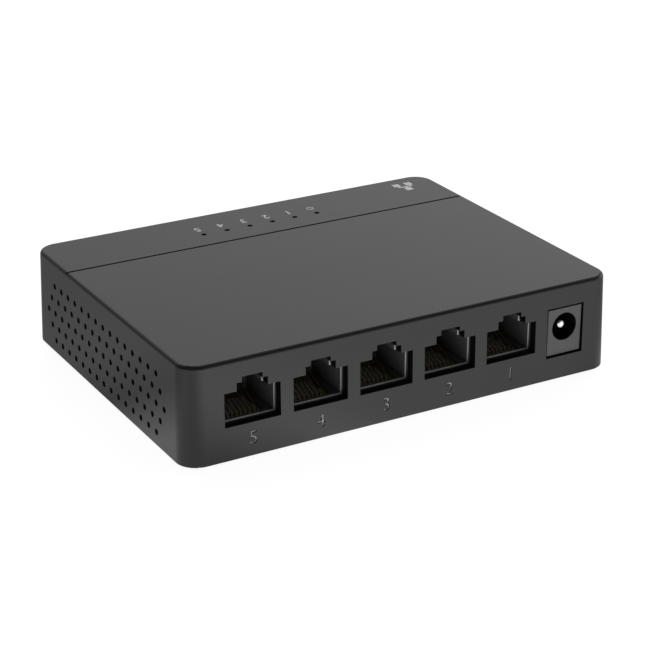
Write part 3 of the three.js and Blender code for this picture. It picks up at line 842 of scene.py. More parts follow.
@dataclass
class Base:
    """The base plate, with its vents, posts and clips, and the four rubber feet."""

    thickness: float = 2.0 * MM
    corner: float = 2.4 * MM
    edge: float = 0.3 * MM
    slide_gap: float = 0.3 * MM
    pocket_depth: float = 0.5 * MM
    slot_width: float = 1.8 * MM
    slot_length: float = 15.0 * MM
    slot_pitch: float = 4.4 * MM
    slots: int = 9
    bank_spread: float = 22.0 * MM
    post_radius: float = 2.5 * MM
    pin_radius: float = 1.2 * MM
    pin_proud: float = 0.8 * MM
    post_inset: float = 4.0 * MM
    post_from_front: float = 38.0 * MM
    screw_hole: float = 1.45 * MM
    rooted: float = 1.0 * MM
    slot_round: float = 0.12 * MM
    clip_thickness: float = 1.2 * MM
    clip_back: float = 1.1 * MM
    clip_width: float = 6.0 * MM
    front_clip_width: float = 3.0 * MM
    clip_spread: float = 34.0 * MM
    nose: float = 0.3 * MM
    nose_height: float = 1.2 * MM
    foot_round: float = 0.25 * MM
    dish_rim: float = 0.9 * MM
    dish_depth: float = 0.15 * MM
    feet: int = 4
    low: Vector = field(default_factory=lambda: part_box("bottom_cover")[0])
    high: Vector = field(default_factory=lambda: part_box("bottom_cover")[1])
    board: tuple[Vector, Vector] = field(default_factory=lambda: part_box("circuit_board"))

    @property
    def floor(self) -> float:
        """The height of the plate's upper face."""
        return self.low.z + self.thickness

    def build(self) -> None:
        """Model the plate and the feet."""
        plate = add_box("base_plate", self.low, (self.high.x, self.high.y, self.floor))
        round_edges(plate, self.corner, 8, upright)
        under = self.low.z
        round_edges(plate, self.edge, 2, sharp_below(under))
        combine(plate, self._openings())
        round_edges(
            plate, self.slot_round, 2, lambda m, a, n: m.z < under + NEAR and between(n, -UP)
        )
        combine(plate, join([*self._posts(), *self._clips()], "base_uprights"), "UNION")
        smooth(plate)
        hand_over(plate, CASE_BLACK, replaced=["bottom_cover"])
        for i in range(1, self.feet + 1):
            self._foot(f"foot_{i}")

    def _openings(self) -> bpy.types.Object:
        """Return the round-ended vent slots and the foot pockets as one tool."""
        half = (self.slot_length - self.slot_width) / 2
        radius = self.slot_width / 2
        under, over = self.low.z - OVER, self.floor + OVER
        slot = add_box("slot", (-half, -radius, under), (half, radius, over))
        for end in (-half, half):
            combine(slot, add_rod("slot_end", Axis.Z, radius, under, over, (end, 0, 0), 24), "UNION")
        tools = [
            copy_of(slot, "slot_tool", (bank * self.bank_spread, place, 0))
            for bank in (-1, 1)
            for place in spread(self.slots, self.slot_pitch)
        ]
        bpy.data.objects.remove(slot)
        for i in range(1, self.feet + 1):
            low, high, middle = span(f"foot_{i}")
            radius = (high.x - low.x) / 2 + self.slide_gap
            tools.append(add_rod("pocket", Axis.Z, radius, under, self.low.z + self.pocket_depth, middle, 48))
        return join(tools, "base_openings")

    def _posts(self) -> list[bpy.types.Object]:
        """Return the four posts that the board stands on, two of them with a pin."""
        posts = []
        foot, top = self.floor - self.rooted, self.board[0].z - SEAT_GAP
        pin_top = self.board[1].z + self.pin_proud
        front, back = self.board[0].y + self.post_from_front, self.board[1].y - self.post_inset
        for x in (self.board[0].x + self.post_inset, self.board[1].x - self.post_inset):
            post = add_rod("post", Axis.Z, self.post_radius, foot, top, (x, front, 0), 40)
            inside = foot + self.rooted / 2
            pin = add_rod("pin", Axis.Z, self.pin_radius, inside, pin_top, (x, front, 0), 32)
            round_edges(pin, self.pin_radius / 4, 3, sharp_above(pin_top))
            combine(post, pin, "UNION")
            posts.append(post)
            post = add_rod("post", Axis.Z, self.post_radius, foot, top, (x, back, 0), 40)
            combine(post, add_rod("screw_hole", Axis.Z, self.screw_hole, inside, pin_top, (x, back, 0), 32))
            posts.append(post)
        return posts

    def _clips(self) -> list[bpy.types.Object]:
        """Return the snap clips: two at the front corners and three along the back."""
        beside = self.slide_gap + self.front_clip_width / 2
        places = [
            (self.board[0].x - beside, -1, self.front_clip_width),
            (self.board[1].x + beside, -1, self.front_clip_width),
            *((x, 1, self.clip_width) for x in (-self.clip_spread, 0.0, self.clip_spread)),
        ]
        return [self._clip(*place) for place in places]

    def _clip(self, x: float, side: int, width: float) -> bpy.types.Object:
        """Return one clip: an arm with a hooked nose, sloped on top to ride over its ledge.

        Args:
            x: Its middle.
            side: 1 at the back, -1 at the front.
            width: Its width.
        """
        outer = self.high.y + self.slide_gap - self.clip_back
        inner = outer - self.clip_thickness
        hook = self.high.z - self.nose_height
        left, right, top = x - width / 2, x + width / 2, self.high.z
        arm = add_box("clip", (left, inner, self.floor - self.rooted), (right, outer, top))
        nose = add_box("clip_nose", (left, inner, hook), (right, outer + self.nose, top))
        above = sharp_above(self.high.z)
        round_edges(nose, 0.9 * self.nose, 1, lambda m, a, n: above(m, a, n) and m.y > outer + NEAR)
        combine(arm, nose, "UNION")
        if side < 0:
            arm.rotation_euler = (0, 0, math.pi)
            arm.location = (2 * x, 0, 0)
            settle(arm)
        return arm

    def _foot(self, node: str) -> None:
        """Model one foot with a rounded edge and a shallow dish in its tread."""
        low, high, middle = span(node)
        foot = add_rod(f"rubber_{node}", Axis.Z, (high.x - low.x) / 2, low.z, high.z, middle, 64)
        round_edges(foot, self.foot_round, 4, sharp_below(low.z))
        pick_faces(foot, lambda m, n: n.z < -0.99)
        bpy.ops.mesh.inset(thickness=self.dish_rim)
        bpy.ops.mesh.inset(thickness=self.dish_depth)
        bpy.ops.transform.translate(value=(0, 0, self.dish_depth))
        bpy.ops.object.mode_set(mode="OBJECT")
        smooth(foot)
        hand_over(foot, FOOT_RUBBER, replaced=[node])


# ---- Network sockets ---------------------------------------------------------------------------


@dataclass
class NetworkSocket:
    """One network socket: housing, comb and eight sprung wires."""

    port: int
    cover: TopCover
    cavity: float = 14.5 * MM
    latch_lip: float = 0.1 * MM
    edge: float = 0.25 * MM
    rim: float = 0.18 * MM
    peg: float = 1.5 * MM
    peg_spread: float = 5.4 * MM
    bed_depth: float = 0.85 * MM
    bed_half: float = 4.47 * MM
    bed_start: float = 1.0 * MM
    bed_end: float = 11.0 * MM
    wires: int = 8
    wire_pitch: float = 1.02 * MM
    wire_radius: float = 0.2 * MM
    comb_slot: float = 0.6 * MM
    comb_depth: float = 1.6 * MM
    hook: float = 0.75 * MM

    def build(self) -> None:
        """Model the housing, the wires and the comb behind them."""
        self._housing()
        self._wires()
        self._comb()

    def _housing(self) -> None:
        """Model the moulded housing round its stepped cavity."""
        node = f"port_{self.port}_housing"
        low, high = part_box(node)
        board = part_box("circuit_board")[1].z
        x = (low.x + high.x) / 2
        foot = board + SEAT_GAP
        body = add_box(f"socket_{self.port}", (low.x, low.y, foot), (high.x, high.y, high.z))
        round_edges(body, self.edge, 3, sharp)
        lip, latch = self.cover.lip, self.latch_lip
        sill = board + self.cover.opening_sill + lip
        steps = self.cover.step_heights
        tool = stepped_tool(
            "cavity",
            x,
            sill,
            [self.cover.opening_width - 2 * lip] + [w - 2 * latch for w in self.cover.step_widths],
            [self.cover.opening_height - 2 * lip, steps[0] + lip - latch, steps[1]],
            low.y - 1 * MM,
            low.y + self.cavity,
        )
        combine(body, tool)
        bed = add_box(
            "bed",
            (x - self.bed_half, low.y + self.bed_start, sill - lip - self.bed_depth),
            (x + self.bed_half, low.y + self.bed_end, sill + OVER),
        )
        combine(body, bed)
        front, inner = low.y + NEAR, self.cover.opening_width / 2
        round_edges(
            body, self.rim, 1, lambda m, a, n: m.y < front and between(n, OUT) and abs(m.x - x) < inner
        )
        for side in (-1, 1):
            at = (x + side * self.peg_spread, (low.y + high.y) / 2, 0)
            combine(body, add_rod("peg", Axis.Z, self.peg, low.z, foot + OVER, at, 24), "UNION")
        smooth(body)
        hand_over(body, PORT_BLACK, replaced=[node])
        rim = low.y + self.rim
        # Painted light: the bed under the wires gets a pale finish.
        dress_faces(body, PORT_BED_PAINTED_LIGHT, lambda m, n: n.z > 0.99 and m.z < sill - 10 * NEAR and m.y > rim)
        # Painted highlight: the rounded rim of the mouth gets a light grey finish.
        dress_faces(
            body,
            PORT_RIM_PAINTED_HIGHLIGHT,
            lambda m, n: m.y < rim
            and -0.9 < n.y < -0.4
            and abs(m.x - x) < inner
            and foot + OVER < m.z < high.z - OVER,
        )

    def _comb(self) -> None:
        """Model the block whose slots keep the wires' tips apart."""
        node = f"port_{self.port}_contact_carrier"
        low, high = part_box(node)
        x = (low.x + high.x) / 2
        comb = add_box(f"comb_{self.port}", low, high)
        round_edges(comb, 0.15 * MM, 2, sharp)
        half = self.comb_slot / 2
        slots = [
            add_box(
                "comb_slot",
                (x + place - half, low.y - OVER, low.z - OVER),
                (x + place + half, low.y + self.comb_depth, high.z + OVER),
            )
            for place in spread(self.wires, self.wire_pitch)
        ]
        combine(comb, join(slots, "comb_slots"))
        smooth(comb)
        hand_over(comb, PORT_BLACK, replaced=[node])

    def _wires(self) -> None:
        """Bend one sprung wire and copy it across the socket."""
        node = f"port_{self.port}_contacts"
        low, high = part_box(node)
        x = (low.x + high.x) / 2
        r = self.wire_radius
        root = Vector((0, low.y + 0.35 * MM, low.z + 0.35 * MM))
        tip = Vector((0, high.y - 0.1 * MM, high.z - r))
        rise = (tip - root).normalized()
        bend = root + rise * 1.2 * MM
        path = [
            (0, root.y + self.hook * 1.6, root.z - 0.1 * MM),
            (0, root.y + self.hook * 0.4, root.z - 0.12 * MM),
            (0, root.y - 0.1 * MM, root.z + 0.02 * MM),
            (0, bend.y - 0.6 * MM, bend.z + 0.05 * MM),
            tuple(bend),
            tuple(root.lerp(tip, 0.55)),
            tuple(tip),
        ]
        wire = bent_wire(f"wires_{self.port}", path, r)
        copies = [copy_of(wire, "wire", (x + place, 0, 0)) for place in spread(self.wires, self.wire_pitch)]
        bpy.data.objects.remove(wire)
        comb = join(copies, f"wires_{self.port}")
        # The wires' gold is darkened as painted shade.
        hand_over(comb, GOLD_WITH_PAINTED_SHADE, f"port_{self.port}_springs", [node])


def bent_wire(name: str, path: Sequence[Point], radius: float) -> bpy.types.Object:
    """Bend a round wire along points.

    Args:
        name: The wire's name.
        path: The points that it passes, in metres.
        radius: Its radius.

    Returns:
        The wire as a closed mesh.
    """
    bpy.ops.object.select_all(action="DESELECT")
    bpy.ops.curve.primitive_nurbs_path_add()
    obj = bpy.context.object
    obj.name = name
    curve = obj.data
    curve.splines.clear()
    spline = curve.splines.new("NURBS")
    spline.points.add(len(path) - 1)
    for point, place in zip(spline.points, path):
        point.co = (*place, 1.0)
    spline.order_u = 4
    spline.use_endpoint_u = True
    spline.resolution_u = 4
    curve.dimensions = "3D"
    curve.bevel_depth = radius
    curve.bevel_resolution = 2
    curve.use_fill_caps = True
    only(obj)
    bpy.ops.object.convert(target="MESH")
    settle(obj)
    tidy_mesh(obj)
    bpy.ops.object.shade_smooth_by_angle(angle=math.radians(50))
    return obj


# ---- Power socket ------------------------------------------------------------------------------


@dataclass
class PowerSocket:
    """The power socket: housing with a round bore, centre pin and sprung leaf."""

    flange: float = 3.0 * MM
    flange_inset: float = 0.1 * MM
    bore: float = 3.2 * MM
    bore_depth: float = 10.0 * MM
    bore_height: float = 6.5 * MM
    pin_hole: float = 1.35 * MM
    edge: float = 0.08 * MM
    mouth_round: float = 0.12 * MM
    overlap: float = 0.5 * MM
    leaf_gap: float = 0.3 * MM
    leaf_room: float = 1.1 * MM
    slot_half: float = 1.5 * MM

    def build(self) -> None:
        """Model the housing and the pin, and dress the leaf."""
        self._housing()
        self._pin()
        dress(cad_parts["power_socket_spring"], STEEL)

    def _housing(self) -> None:
        """Model the flange and barrel, and bore them."""
        node = "power_socket_housing"
        low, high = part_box(node)
        x = (low.x + high.x) / 2
        half = (high.x - low.x) / 2
        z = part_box("circuit_board")[1].z + self.bore_height
        back = low.y + self.flange
        inset = self.flange_inset
        body = add_box(
            "power_socket", (low.x + inset, low.y, low.z + inset), (high.x - inset, back, high.z - inset)
        )
        round_edges(body, self.edge, 3, sharp)
        start = back - self.overlap
        combine(body, add_rod("barrel", Axis.Y, half, start, high.y, (x, 0, high.z - half), 48), "UNION")
        combine(body, add_box("cheeks", (low.x, start, low.z), (high.x, high.y, high.z - half)), "UNION")
        bore_end = low.y + self.bore_depth
        combine(body, add_rod("bore", Axis.Y, self.bore, low.y - OVER, bore_end, (x, 0, z), 64))
        combine(body, add_rod("pin_hole", Axis.Y, self.pin_hole, low.y, high.y + OVER, (x, 0, z), 24))
        leaf_low, leaf_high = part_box("power_socket_spring")
        gap = self.leaf_gap
        slot_top = z - math.sqrt(self.bore**2 - self.slot_half**2)
        slot = add_box(
            "leaf_slot",
            (leaf_low.x - gap, leaf_low.y - 2 * gap, leaf_low.z - self.leaf_room),
            (leaf_high.x + gap, leaf_high.y + 2 * gap, slot_top),
        )
        combine(body, slot)
        front = low.y + NEAR
        mouth = self.bore + 10 * NEAR
        round_edges(
            body,
            self.mouth_round,
            2,
            lambda m, a, n: m.y < front and between(n, OUT) and math.hypot(m.x - x, m.z - z) < mouth,
        )
        smooth(body)
        hand_over(body, SOCKET_BLACK, replaced=[node])
        # Painted shade: the bore's walls get a near-black finish.
        dress_faces(
            body,
            RECESS_PAINTED_SHADE,
            lambda m, n: m.y > low.y + 20 * NEAR and math.hypot(m.x - x, m.z - z) < self.bore + 5 * NEAR,
        )

    def _pin(self) -> None:
        """Model the centre pin, flat at its end with a rounded rim."""
        node = "power_socket_pin"
        low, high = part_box(node)
        middle = (low + high) / 2
        radius = (high.x - low.x) / 2
        pin = add_rod("power_pin", Axis.Y, radius, low.y, high.y, middle, 32)
        nose = low.y
        round_edges(pin, 0.55 * radius, 5, lambda m, a, n: m.y < nose + NEAR and sharp(m, a, n))
        smooth(pin)
        hand_over(pin, STEEL, replaced=[node])
        # Painted highlight: the pin's flat end is whitened.
        dress_faces(pin, PIN_END_PAINTED_HIGHLIGHT, lambda m, n: n.y < -0.99)


# ---- Board -------------------------------------------------------------------------------------


def flat_lead(name: str, width: float, thickness: float, rise: float, reach: float) -> bpy.types.Object:
    """Bend one flat lead that leaves its body along Y, steps down and runs on along the board.

    Args:
        name: The lead's name.
        width: Its width.
        thickness: Its thickness.
        rise: The height that it leaves the body at.
        reach: How far it reaches from the body.

    Returns:
        The lead, with the body's face at y = 0 and the board at z = 0.
    """
    bpy.ops.object.select_all(action="DESELECT")
    start = (0, -0.3 * reach, rise)
    bpy.ops.mesh.primitive_plane_add(size=1, location=start, rotation=(math.pi / 2, 0, 0))
    lead = bpy.context.object
    lead.name = name
    lead.scale = (width, thickness, 1)
    settle(lead)
    bpy.ops.object.mode_set(mode="EDIT")
    bpy.ops.mesh.select_all(action="SELECT")
    down = thickness / 2 - rise
    for step in ((0, 0.55 * reach, 0), (0, 0.3 * reach, down), (0, 0.45 * reach, 0)):
        bpy.ops.mesh.extrude_region_move(TRANSFORM_OT_translate={"value": step})
    bpy.ops.mesh.select_all(action="SELECT")
    bpy.ops.mesh.normals_make_consistent(inside=False)
    bpy.ops.object.mode_set(mode="OBJECT")
    return lead


@dataclass
class LeadedChip:
    """A moulded chip with flat leads along its sides and a dimple that marks the first one.

    Attributes:
        node: The CAD node that it stands for.
        leads: How many leads a side has.
        pitch: The leads' spacing.
        quarter_turns: Which sides have leads: 0 is the back, and each turn is to the left.
        reach: How far the leads reach.
    """

    node: str
    leads: int
    pitch: float
    quarter_turns: tuple[int, ...]
    reach: float = 1.1 * MM
    thickness: float = 0.18 * MM
    edge: float = 0.18 * MM
    dimple: float = 0.45 * MM

    def build(self) -> None:
        """Model the body and its leads."""
        low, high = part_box(self.node)
        body = add_box(f"{self.node}_body", low, high)
        round_edges(body, self.edge, 2, sharp)
        corner = (low.x + 2.5 * self.dimple, low.y + 2.5 * self.dimple, 0)
        dimple = add_rod("dimple", Axis.Z, self.dimple, high.z - 0.12 * MM, high.z + 1 * MM, corner, 20)
        combine(body, dimple)
        smooth(body)
        hand_over(body, CHIP_RESIN, replaced=[self.node])
        self._leads(low, high)

    def _leads(self, low: Vector, high: Vector) -> None:
        """Bend one lead and copy it along the sides."""
        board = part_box("circuit_board")[1].z
        middle = (low + high) / 2
        rise = 0.4 * (high.z - board)
        lead = flat_lead("lead", 0.45 * self.pitch, self.thickness, rise, self.reach)
        made = []
        for turn in self.quarter_turns:
            half = (high.y - low.y) / 2 if turn % 2 == 0 else (high.x - low.x) / 2
            for i in range(self.leads):
                place = Vector(((i - (self.leads - 1) / 2) * self.pitch, half, 0))
                made.append(copy_of(lead, "lead", place))
                made[-1].data.transform(Matrix.Rotation(turn * math.pi / 2, 4, "Z"))
                made[-1].data.transform(Matrix.Translation((middle.x, middle.y, board)))
        bpy.data.objects.remove(lead)
        hand_over(join(made, f"{self.node}_leads"), STEEL)


@dataclass
class Capacitor:
    """An upright capacitor: a drawn can with a rolled groove and a scored top, on a dark seat."""

    node: str
    rim: float = 0.4 * MM
    seat: float = 0.5 * MM
    groove_height: float = 1.5 * MM
    groove: float = 0.3 * MM
    score: float = 0.16 * MM

    def build(self) -> None:
        """Model the can."""
        low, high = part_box(self.node)
        middle = (low + high) / 2
        radius = (high.x - low.x) / 2
        can = add_rod(f"{self.node}_can", Axis.Z, radius, low.z, high.z, middle, 48)
        round_edges(can, self.rim, 4, sharp_above(high.z))
        bpy.ops.object.select_all(action="DESELECT")
        bpy.ops.mesh.primitive_torus_add(
            major_radius=radius + 0.3 * self.groove,
            minor_radius=self.groove,
            major_segments=37,
            minor_segments=12,
            location=(middle.x, middle.y, low.z + self.groove_height),
        )
        combine(can, settle(bpy.context.object))
        for turn in range(3):
            half = self.score / 2
            cut = add_box("score", (-half, self.score, -self.score), (half, 0.7 * radius, OVER))
            cut.rotation_euler = (0, 0, turn * 2 * math.pi / 3)
            cut.location = (middle.x, middle.y, high.z)
            combine(can, settle(cut))
        smooth(can)
        hand_over(can, ALUMINIUM, replaced=[self.node])
        dress_faces(can, CHIP_RESIN, lambda m, n: m.z < low.z + self.seat)


@dataclass
class Board:
    """The circuit board with its chips, screws, lamps and light guide."""

    screw_cross: float = 0.5 * MM
    screw_cross_depth: float = 0.8 * MM
    shank: float = 1.3 * MM
    head_height: float = 1.6 * MM
    coil: float = 2.3 * MM
    coil_groove: float = 0.35 * MM
    pipe: float = 0.75 * MM
    tip: float = 0.48 * MM
    tip_height: float = 1.2 * MM
    bar_top_below: float = 3.9 * MM
    bar_height: float = 2.0 * MM

    def build(self) -> None:
        """Dress the board and model each piece on it."""
        dress(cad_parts["circuit_board"], SOLDER_MASK)
        LeadedChip("switch_chip", 16, 0.8 * MM, (0, 1, 2, 3)).build()
        LeadedChip("voltage_regulator", 3, 1.1 * MM, (0, 2), 0.9 * MM, dimple=0.25 * MM).build()
        for port in range(1, PORTS + 1):
            LeadedChip(f"port_{port}_transformer", 8, 1.27 * MM, (0, 2), 1.2 * MM).build()
        for i in (1, 2):
            Capacitor(f"capacitor_{i}").build()
            self._screw(f"board_screw_{i}")
        self._crystal()
        self._inductor()
        for lamp in lamp_names():
            self._lamp(lamp)
        self._guide()

    def _screw(self, node: str) -> None:
        """Model a screw with a round head and a cross recess."""
        low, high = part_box(node)
        middle = (low + high) / 2
        head = add_rod(
            f"{node}_steel", Axis.Z, (high.x - low.x) / 2, high.z - self.head_height, high.z, middle, 40
        )
        round_edges(head, 0.7 * MM, 5, sharp_above(high.z))
        reach, half, floor = 1.3 * MM, self.screw_cross / 2, high.z - self.screw_cross_depth
        for x, y in ((reach, half), (half, reach)):
            low_corner = (middle.x - x, middle.y - y, floor)
            high_corner = (middle.x + x, middle.y + y, high.z + OVER)
            combine(head, add_box("cross", low_corner, high_corner))
        shank = add_rod("shank", Axis.Z, self.shank, low.z, floor - 0.2 * MM, middle, 32)
        combine(head, shank, "UNION")
        smooth(head)
        hand_over(head, STEEL, replaced=[node])

    def _crystal(self) -> None:
        """Model the crystal's oblong can on its flange."""
        low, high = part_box("clock_crystal")
        can = add_box("crystal_can", low, high)
        round_edges(can, 0.49 * (high.y - low.y), 10, upright)
        round_edges(can, 0.4 * MM, 4, sharp_above(high.z))
        rim = 0.3 * MM
        outer = (high.x + rim, high.y + rim, low.z + 0.4 * MM)
        flange = add_box("flange", (low.x - rim, low.y - rim, low.z), outer)
        round_edges(flange, 0.49 * (high.y - low.y), 10, upright)
        combine(can, flange, "UNION")
        smooth(can)
        hand_over(can, STEEL, replaced=["clock_crystal"])

    def _inductor(self) -> None:
        """Model the inductor: a block with cut corners round its core, on two end plates."""
        low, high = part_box("power_inductor")
        middle = (low + high) / 2
        block = add_box("inductor_block", low, high)
        round_edges(block, 1.3 * MM, 1, upright)
        round_edges(block, 0.25 * MM, 2, sharp_above(high.z))
        core_radius = self.coil - self.coil_groove
        ring = add_rod("ring", Axis.Z, self.coil, high.z - 0.3 * MM, high.z + OVER, middle, 40)
        core = add_rod("core", Axis.Z, core_radius, high.z - OVER, high.z + 2 * MM, middle, 40)
        combine(ring, core)
        combine(block, ring)
        smooth(block)
        hand_over(block, FERRITE, replaced=["power_inductor"])
        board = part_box("circuit_board")[1].z
        plates = []
        for side, edge in ((-1, low.x), (1, high.x)):
            inner, outer = edge - side * 0.5 * MM, edge + side * 0.3 * MM
            plate = add_box(
                "plate",
                (min(inner, outer), middle.y - 1.2 * MM, board + 0.01 * MM),
                (max(inner, outer), middle.y + 1.2 * MM, board + 1.1 * MM),
            )
            round_edges(plate, 0.08 * MM, 2, sharp)
            plates.append(plate)
        hand_over(join(plates, "inductor_plates"), STEEL)

    def _lamp(self, node: str) -> None:
        """Model a lamp: a lens with round edges on a wider seat."""
        low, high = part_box(node)
        step = low.z + 0.45 * (high.z - low.z)
        seat = add_box(f"{node}_lens", low, (high.x, high.y, step))
        side = 0.25 * MM
        lens = add_box("lens", (low.x + side, low.y, step - 0.1 * MM), (high.x - side, high.y, high.z))
        round_edges(lens, 0.12 * MM, 2, sharp_above(high.z))
        combine(seat, lens, "UNION")
        smooth(seat)
        hand_over(seat, LAMP_RESIN, replaced=[node])

    def _guide(self) -> None:
        """Model the light guide: six pipes with round tips on one bar."""
        low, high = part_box("light_guide")
        middle = (low + high) / 2
        bar_top = high.z - self.bar_top_below
        guide = add_box("guide_bar", (low.x, low.y, bar_top - self.bar_height), (high.x, high.y, bar_top))
        round_edges(guide, 0.3 * MM, 3, sharp)
        pipes = []
        for lamp in lamp_names():
            lamp_low, lamp_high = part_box(lamp)
            x = (lamp_low.x + lamp_high.x) / 2
            pipe_top = high.z - self.tip_height - 0.6 * MM
            pipe = add_rod("pipe", Axis.Z, self.pipe, lamp_high.z + 0.3 * MM, pipe_top, (x, middle.y, 0), 24)
            tip = add_rod("tip", Axis.Z, self.tip, pipe_top - 0.5 * MM, high.z, (x, middle.y, 0), 24)
            round_edges(tip, 0.15 * MM, 3, sharp_above(high.z))
            combine(pipe, tip, "UNION")
            pipes.append(pipe)
        for x in (low.x + self.pipe, high.x - self.pipe):
            pipes.append(add_rod("leg", Axis.Z, self.pipe, low.z, bar_top - 0.5 * MM, (x, middle.y, 0), 24))
        combine(guide, join(pipes, "pipes"), "UNION")
        smooth(guide)
        hand_over(guide, SMOKED, replaced=["light_guide"])


# ---- Studio ------------------------------------------------------------------------------------


@dataclass(frozen=True)
class LightBand:
    """A band of soft light round the horizon.

    Attributes:
        heights: Its share at rising heights, each the sine of an elevation.
        levels: Its level in evenly spaced directions, from the left round by the front and the right.
    """

    heights: tuple[tuple[float, float], ...]
    levels: tuple[float, ...]


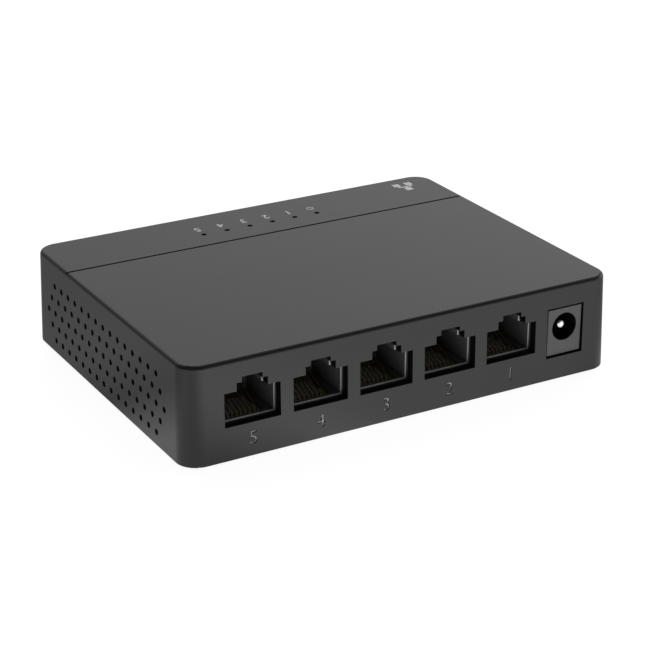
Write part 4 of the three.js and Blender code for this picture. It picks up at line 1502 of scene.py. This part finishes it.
@dataclass
class Studio:
    """The floor, the light and the camera."""

    azimuth: float = -29.66
    elevation: float = 23.23
    roll: float = 0.13
    distance: float = 442.28 * MM
    lens: float = 109.05
    aim_right: float = 1.051 * MM
    aim_up: float = -3.911 * MM
    aim_height: float = 11.81 * MM
    floor_size: float = 12.0
    floor_shown: float = 0.93
    floor_white: float = 0.5
    brightest: float = 2.5
    floor_light: tuple[float, ...] = (
        *(0.25, 0.75, 0.66, 1.46, 1.04, 1.04, 0.9, 0.25),
        *(0.25, 0.27, 0.27, 0.27, 0.25, 0.25, 0.25, 0.36),
    )
    bands: tuple[LightBand, ...] = (
        LightBand(((0.0, 1.0), (0.2, 1.0), (0.5, 0.0)), (0.12, 0.12, 0.12, 0.81, 1.3, 0.89, 0.43, 0.12)),
        LightBand(
            ((0.2, 0.0), (0.5, 1.0), (0.75, 1.0), (0.95, 0.0)), (0.1, 0.1, 0.1, 0.1, 0.1, 0.96, 0.64, 0.1)
        ),
        LightBand(((0.75, 0.0), (0.95, 1.0)), (0.1,) * 8),
    )

    def build(self) -> None:
        """Make the floor, the light and the camera."""
        bpy.context.scene.view_settings.view_transform = "Standard"
        self._floor()
        self._world()
        self._camera()

    def _floor(self) -> None:
        """Lay a plain pale floor that glows softly, so that it stays white and throws light up."""
        bpy.ops.object.select_all(action="DESELECT")
        bpy.ops.mesh.primitive_plane_add(size=self.floor_size)
        floor = bpy.context.object
        floor.name = "studio_floor"
        material = bpy.data.materials.new("studio white")
        material.use_nodes = True
        tree = material.node_tree
        tree.nodes.clear()
        place = tree.nodes.new("ShaderNodeTexCoord").outputs["Object"]
        thrown = tree.nodes.new("ShaderNodeEmission")
        thrown.inputs["Strength"].default_value = self.brightest
        tree.links.new(self._round(tree, place, self.floor_light), thrown.inputs["Color"])
        shown = tree.nodes.new("ShaderNodeEmission")
        shown.inputs["Strength"].default_value = self.floor_shown
        glow = tree.nodes.new("ShaderNodeMixShader")
        seen = tree.nodes.new("ShaderNodeLightPath")
        tree.links.new(seen.outputs["Is Camera Ray"], glow.inputs["Fac"])
        tree.links.new(thrown.outputs["Emission"], glow.inputs[1])
        tree.links.new(shown.outputs["Emission"], glow.inputs[2])
        matt = tree.nodes.new("ShaderNodeBsdfDiffuse")
        matt.inputs["Color"].default_value = (*(self.floor_white,) * 3, 1.0)
        both = tree.nodes.new("ShaderNodeAddShader")
        tree.links.new(glow.outputs["Shader"], both.inputs[0])
        tree.links.new(matt.outputs["BSDF"], both.inputs[1])
        out = tree.nodes.new("ShaderNodeOutputMaterial")
        tree.links.new(both.outputs["Shader"], out.inputs["Surface"])
        floor.data.materials.append(material)

    def _world(self) -> None:
        """Light the scene softly from all round, brightest behind, and dim overhead."""
        world = bpy.data.worlds.new("studio")
        bpy.context.scene.world = world
        world.use_nodes = True
        tree = world.node_tree
        tree.nodes.clear()
        direction = tree.nodes.new("ShaderNodeTexCoord").outputs["Generated"]
        axes = tree.nodes.new("ShaderNodeSeparateXYZ")
        tree.links.new(direction, axes.inputs["Vector"])
        total = None
        for band in self.bands:
            share = self._ramp(tree, axes.outputs["Z"], band.heights)
            level = self._math(tree, "MULTIPLY", share, self._round(tree, direction, band.levels))
            total = level if total is None else self._math(tree, "ADD", total, level)
        bright = tree.nodes.new("ShaderNodeMath")
        bright.operation = "MULTIPLY"
        bright.inputs[1].default_value = self.brightest
        tree.links.new(total, bright.inputs[0])
        seen = tree.nodes.new("ShaderNodeLightPath")
        light = tree.nodes.new("ShaderNodeBackground")
        shown = self._math(tree, "MAXIMUM", bright.outputs["Value"], seen.outputs["Is Camera Ray"])
        tree.links.new(shown, light.inputs["Strength"])
        light.inputs["Color"].default_value = (1.0, 1.0, 1.0, 1.0)
        out = tree.nodes.new("ShaderNodeOutputWorld")
        tree.links.new(light.outputs["Background"], out.inputs["Surface"])

    def _math(
        self, tree: bpy.types.NodeTree, operation: str, a: bpy.types.NodeSocket, b: bpy.types.NodeSocket
    ) -> bpy.types.NodeSocket:
        """Join two values by an operation and return the result."""
        node = tree.nodes.new("ShaderNodeMath")
        node.operation = operation
        tree.links.new(a, node.inputs[0])
        tree.links.new(b, node.inputs[1])
        return node.outputs["Value"]

    def _ramp(
        self, tree: bpy.types.NodeTree, value: bpy.types.NodeSocket, stops: Sequence[tuple[float, float]]
    ) -> bpy.types.NodeSocket:
        """Map a value onto levels.

        Args:
            tree: The node tree.
            value: The value, from 0 to 1.
            stops: Pairs of a place and its level, in rising order.

        Returns:
            The level, which changes evenly between stops.
        """
        node = tree.nodes.new("ShaderNodeValToRGB")
        elements = node.color_ramp.elements
        while len(elements) < len(stops):
            elements.new(1.0)
        for element, (place, _) in zip(elements, stops):
            element.position = place
        for element, (_, level) in zip(elements, stops):
            element.color = (level, level, level, 1.0)
        tree.links.new(value, node.inputs["Fac"])
        return node.outputs["Color"]

    def _round(
        self, tree: bpy.types.NodeTree, place: bpy.types.NodeSocket, levels: Sequence[float]
    ) -> bpy.types.NodeSocket:
        """Return a level by direction round the vertical, from the left by the front and right."""
        turn = tree.nodes.new("ShaderNodeTexGradient")
        turn.gradient_type = "RADIAL"
        tree.links.new(place, turn.inputs["Vector"])
        closed = [*levels, levels[0]]
        stops = [(i / len(levels), level / self.brightest) for i, level in enumerate(closed)]
        return self._ramp(tree, turn.outputs["Fac"], stops)

    def _camera(self) -> None:
        """Set the camera at the viewing angle."""
        a, e, r = (math.radians(v) for v in (self.azimuth, self.elevation, self.roll))
        back = Vector((math.sin(a) * math.cos(e), -math.cos(a) * math.cos(e), math.sin(e)))
        level = Vector((math.cos(a), math.sin(a), 0))
        rise = back.cross(level)
        right = level * math.cos(r) + rise * math.sin(r)
        up = back.cross(right)
        aim = Vector((0, 0, self.aim_height)) + right * self.aim_right + up * self.aim_up
        data = bpy.data.cameras.new("camera")
        data.sensor_width = 36.0
        data.lens = self.lens
        data.clip_start = 0.01
        camera = bpy.data.objects.new("camera", data)
        bpy.context.scene.collection.objects.link(camera)
        turn = Matrix((right, up, back)).transposed().to_4x4()
        camera.matrix_world = Matrix.Translation(aim + back * self.distance) @ turn
        bpy.context.scene.camera = camera


# ---- Assembly ----------------------------------------------------------------------------------


def main() -> None:
    """Build every sub-assembly in order and report each piece."""
    logging.basicConfig(level=logging.INFO, format="%(name)s: %(message)s")
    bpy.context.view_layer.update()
    Studio().build()
    cover = TopCover()
    cover.build()
    Base().build()
    for port in range(1, PORTS + 1):
        NetworkSocket(port, cover).build()
    PowerSocket().build()
    Board().build()


if __name__ == "__main__":
    main()
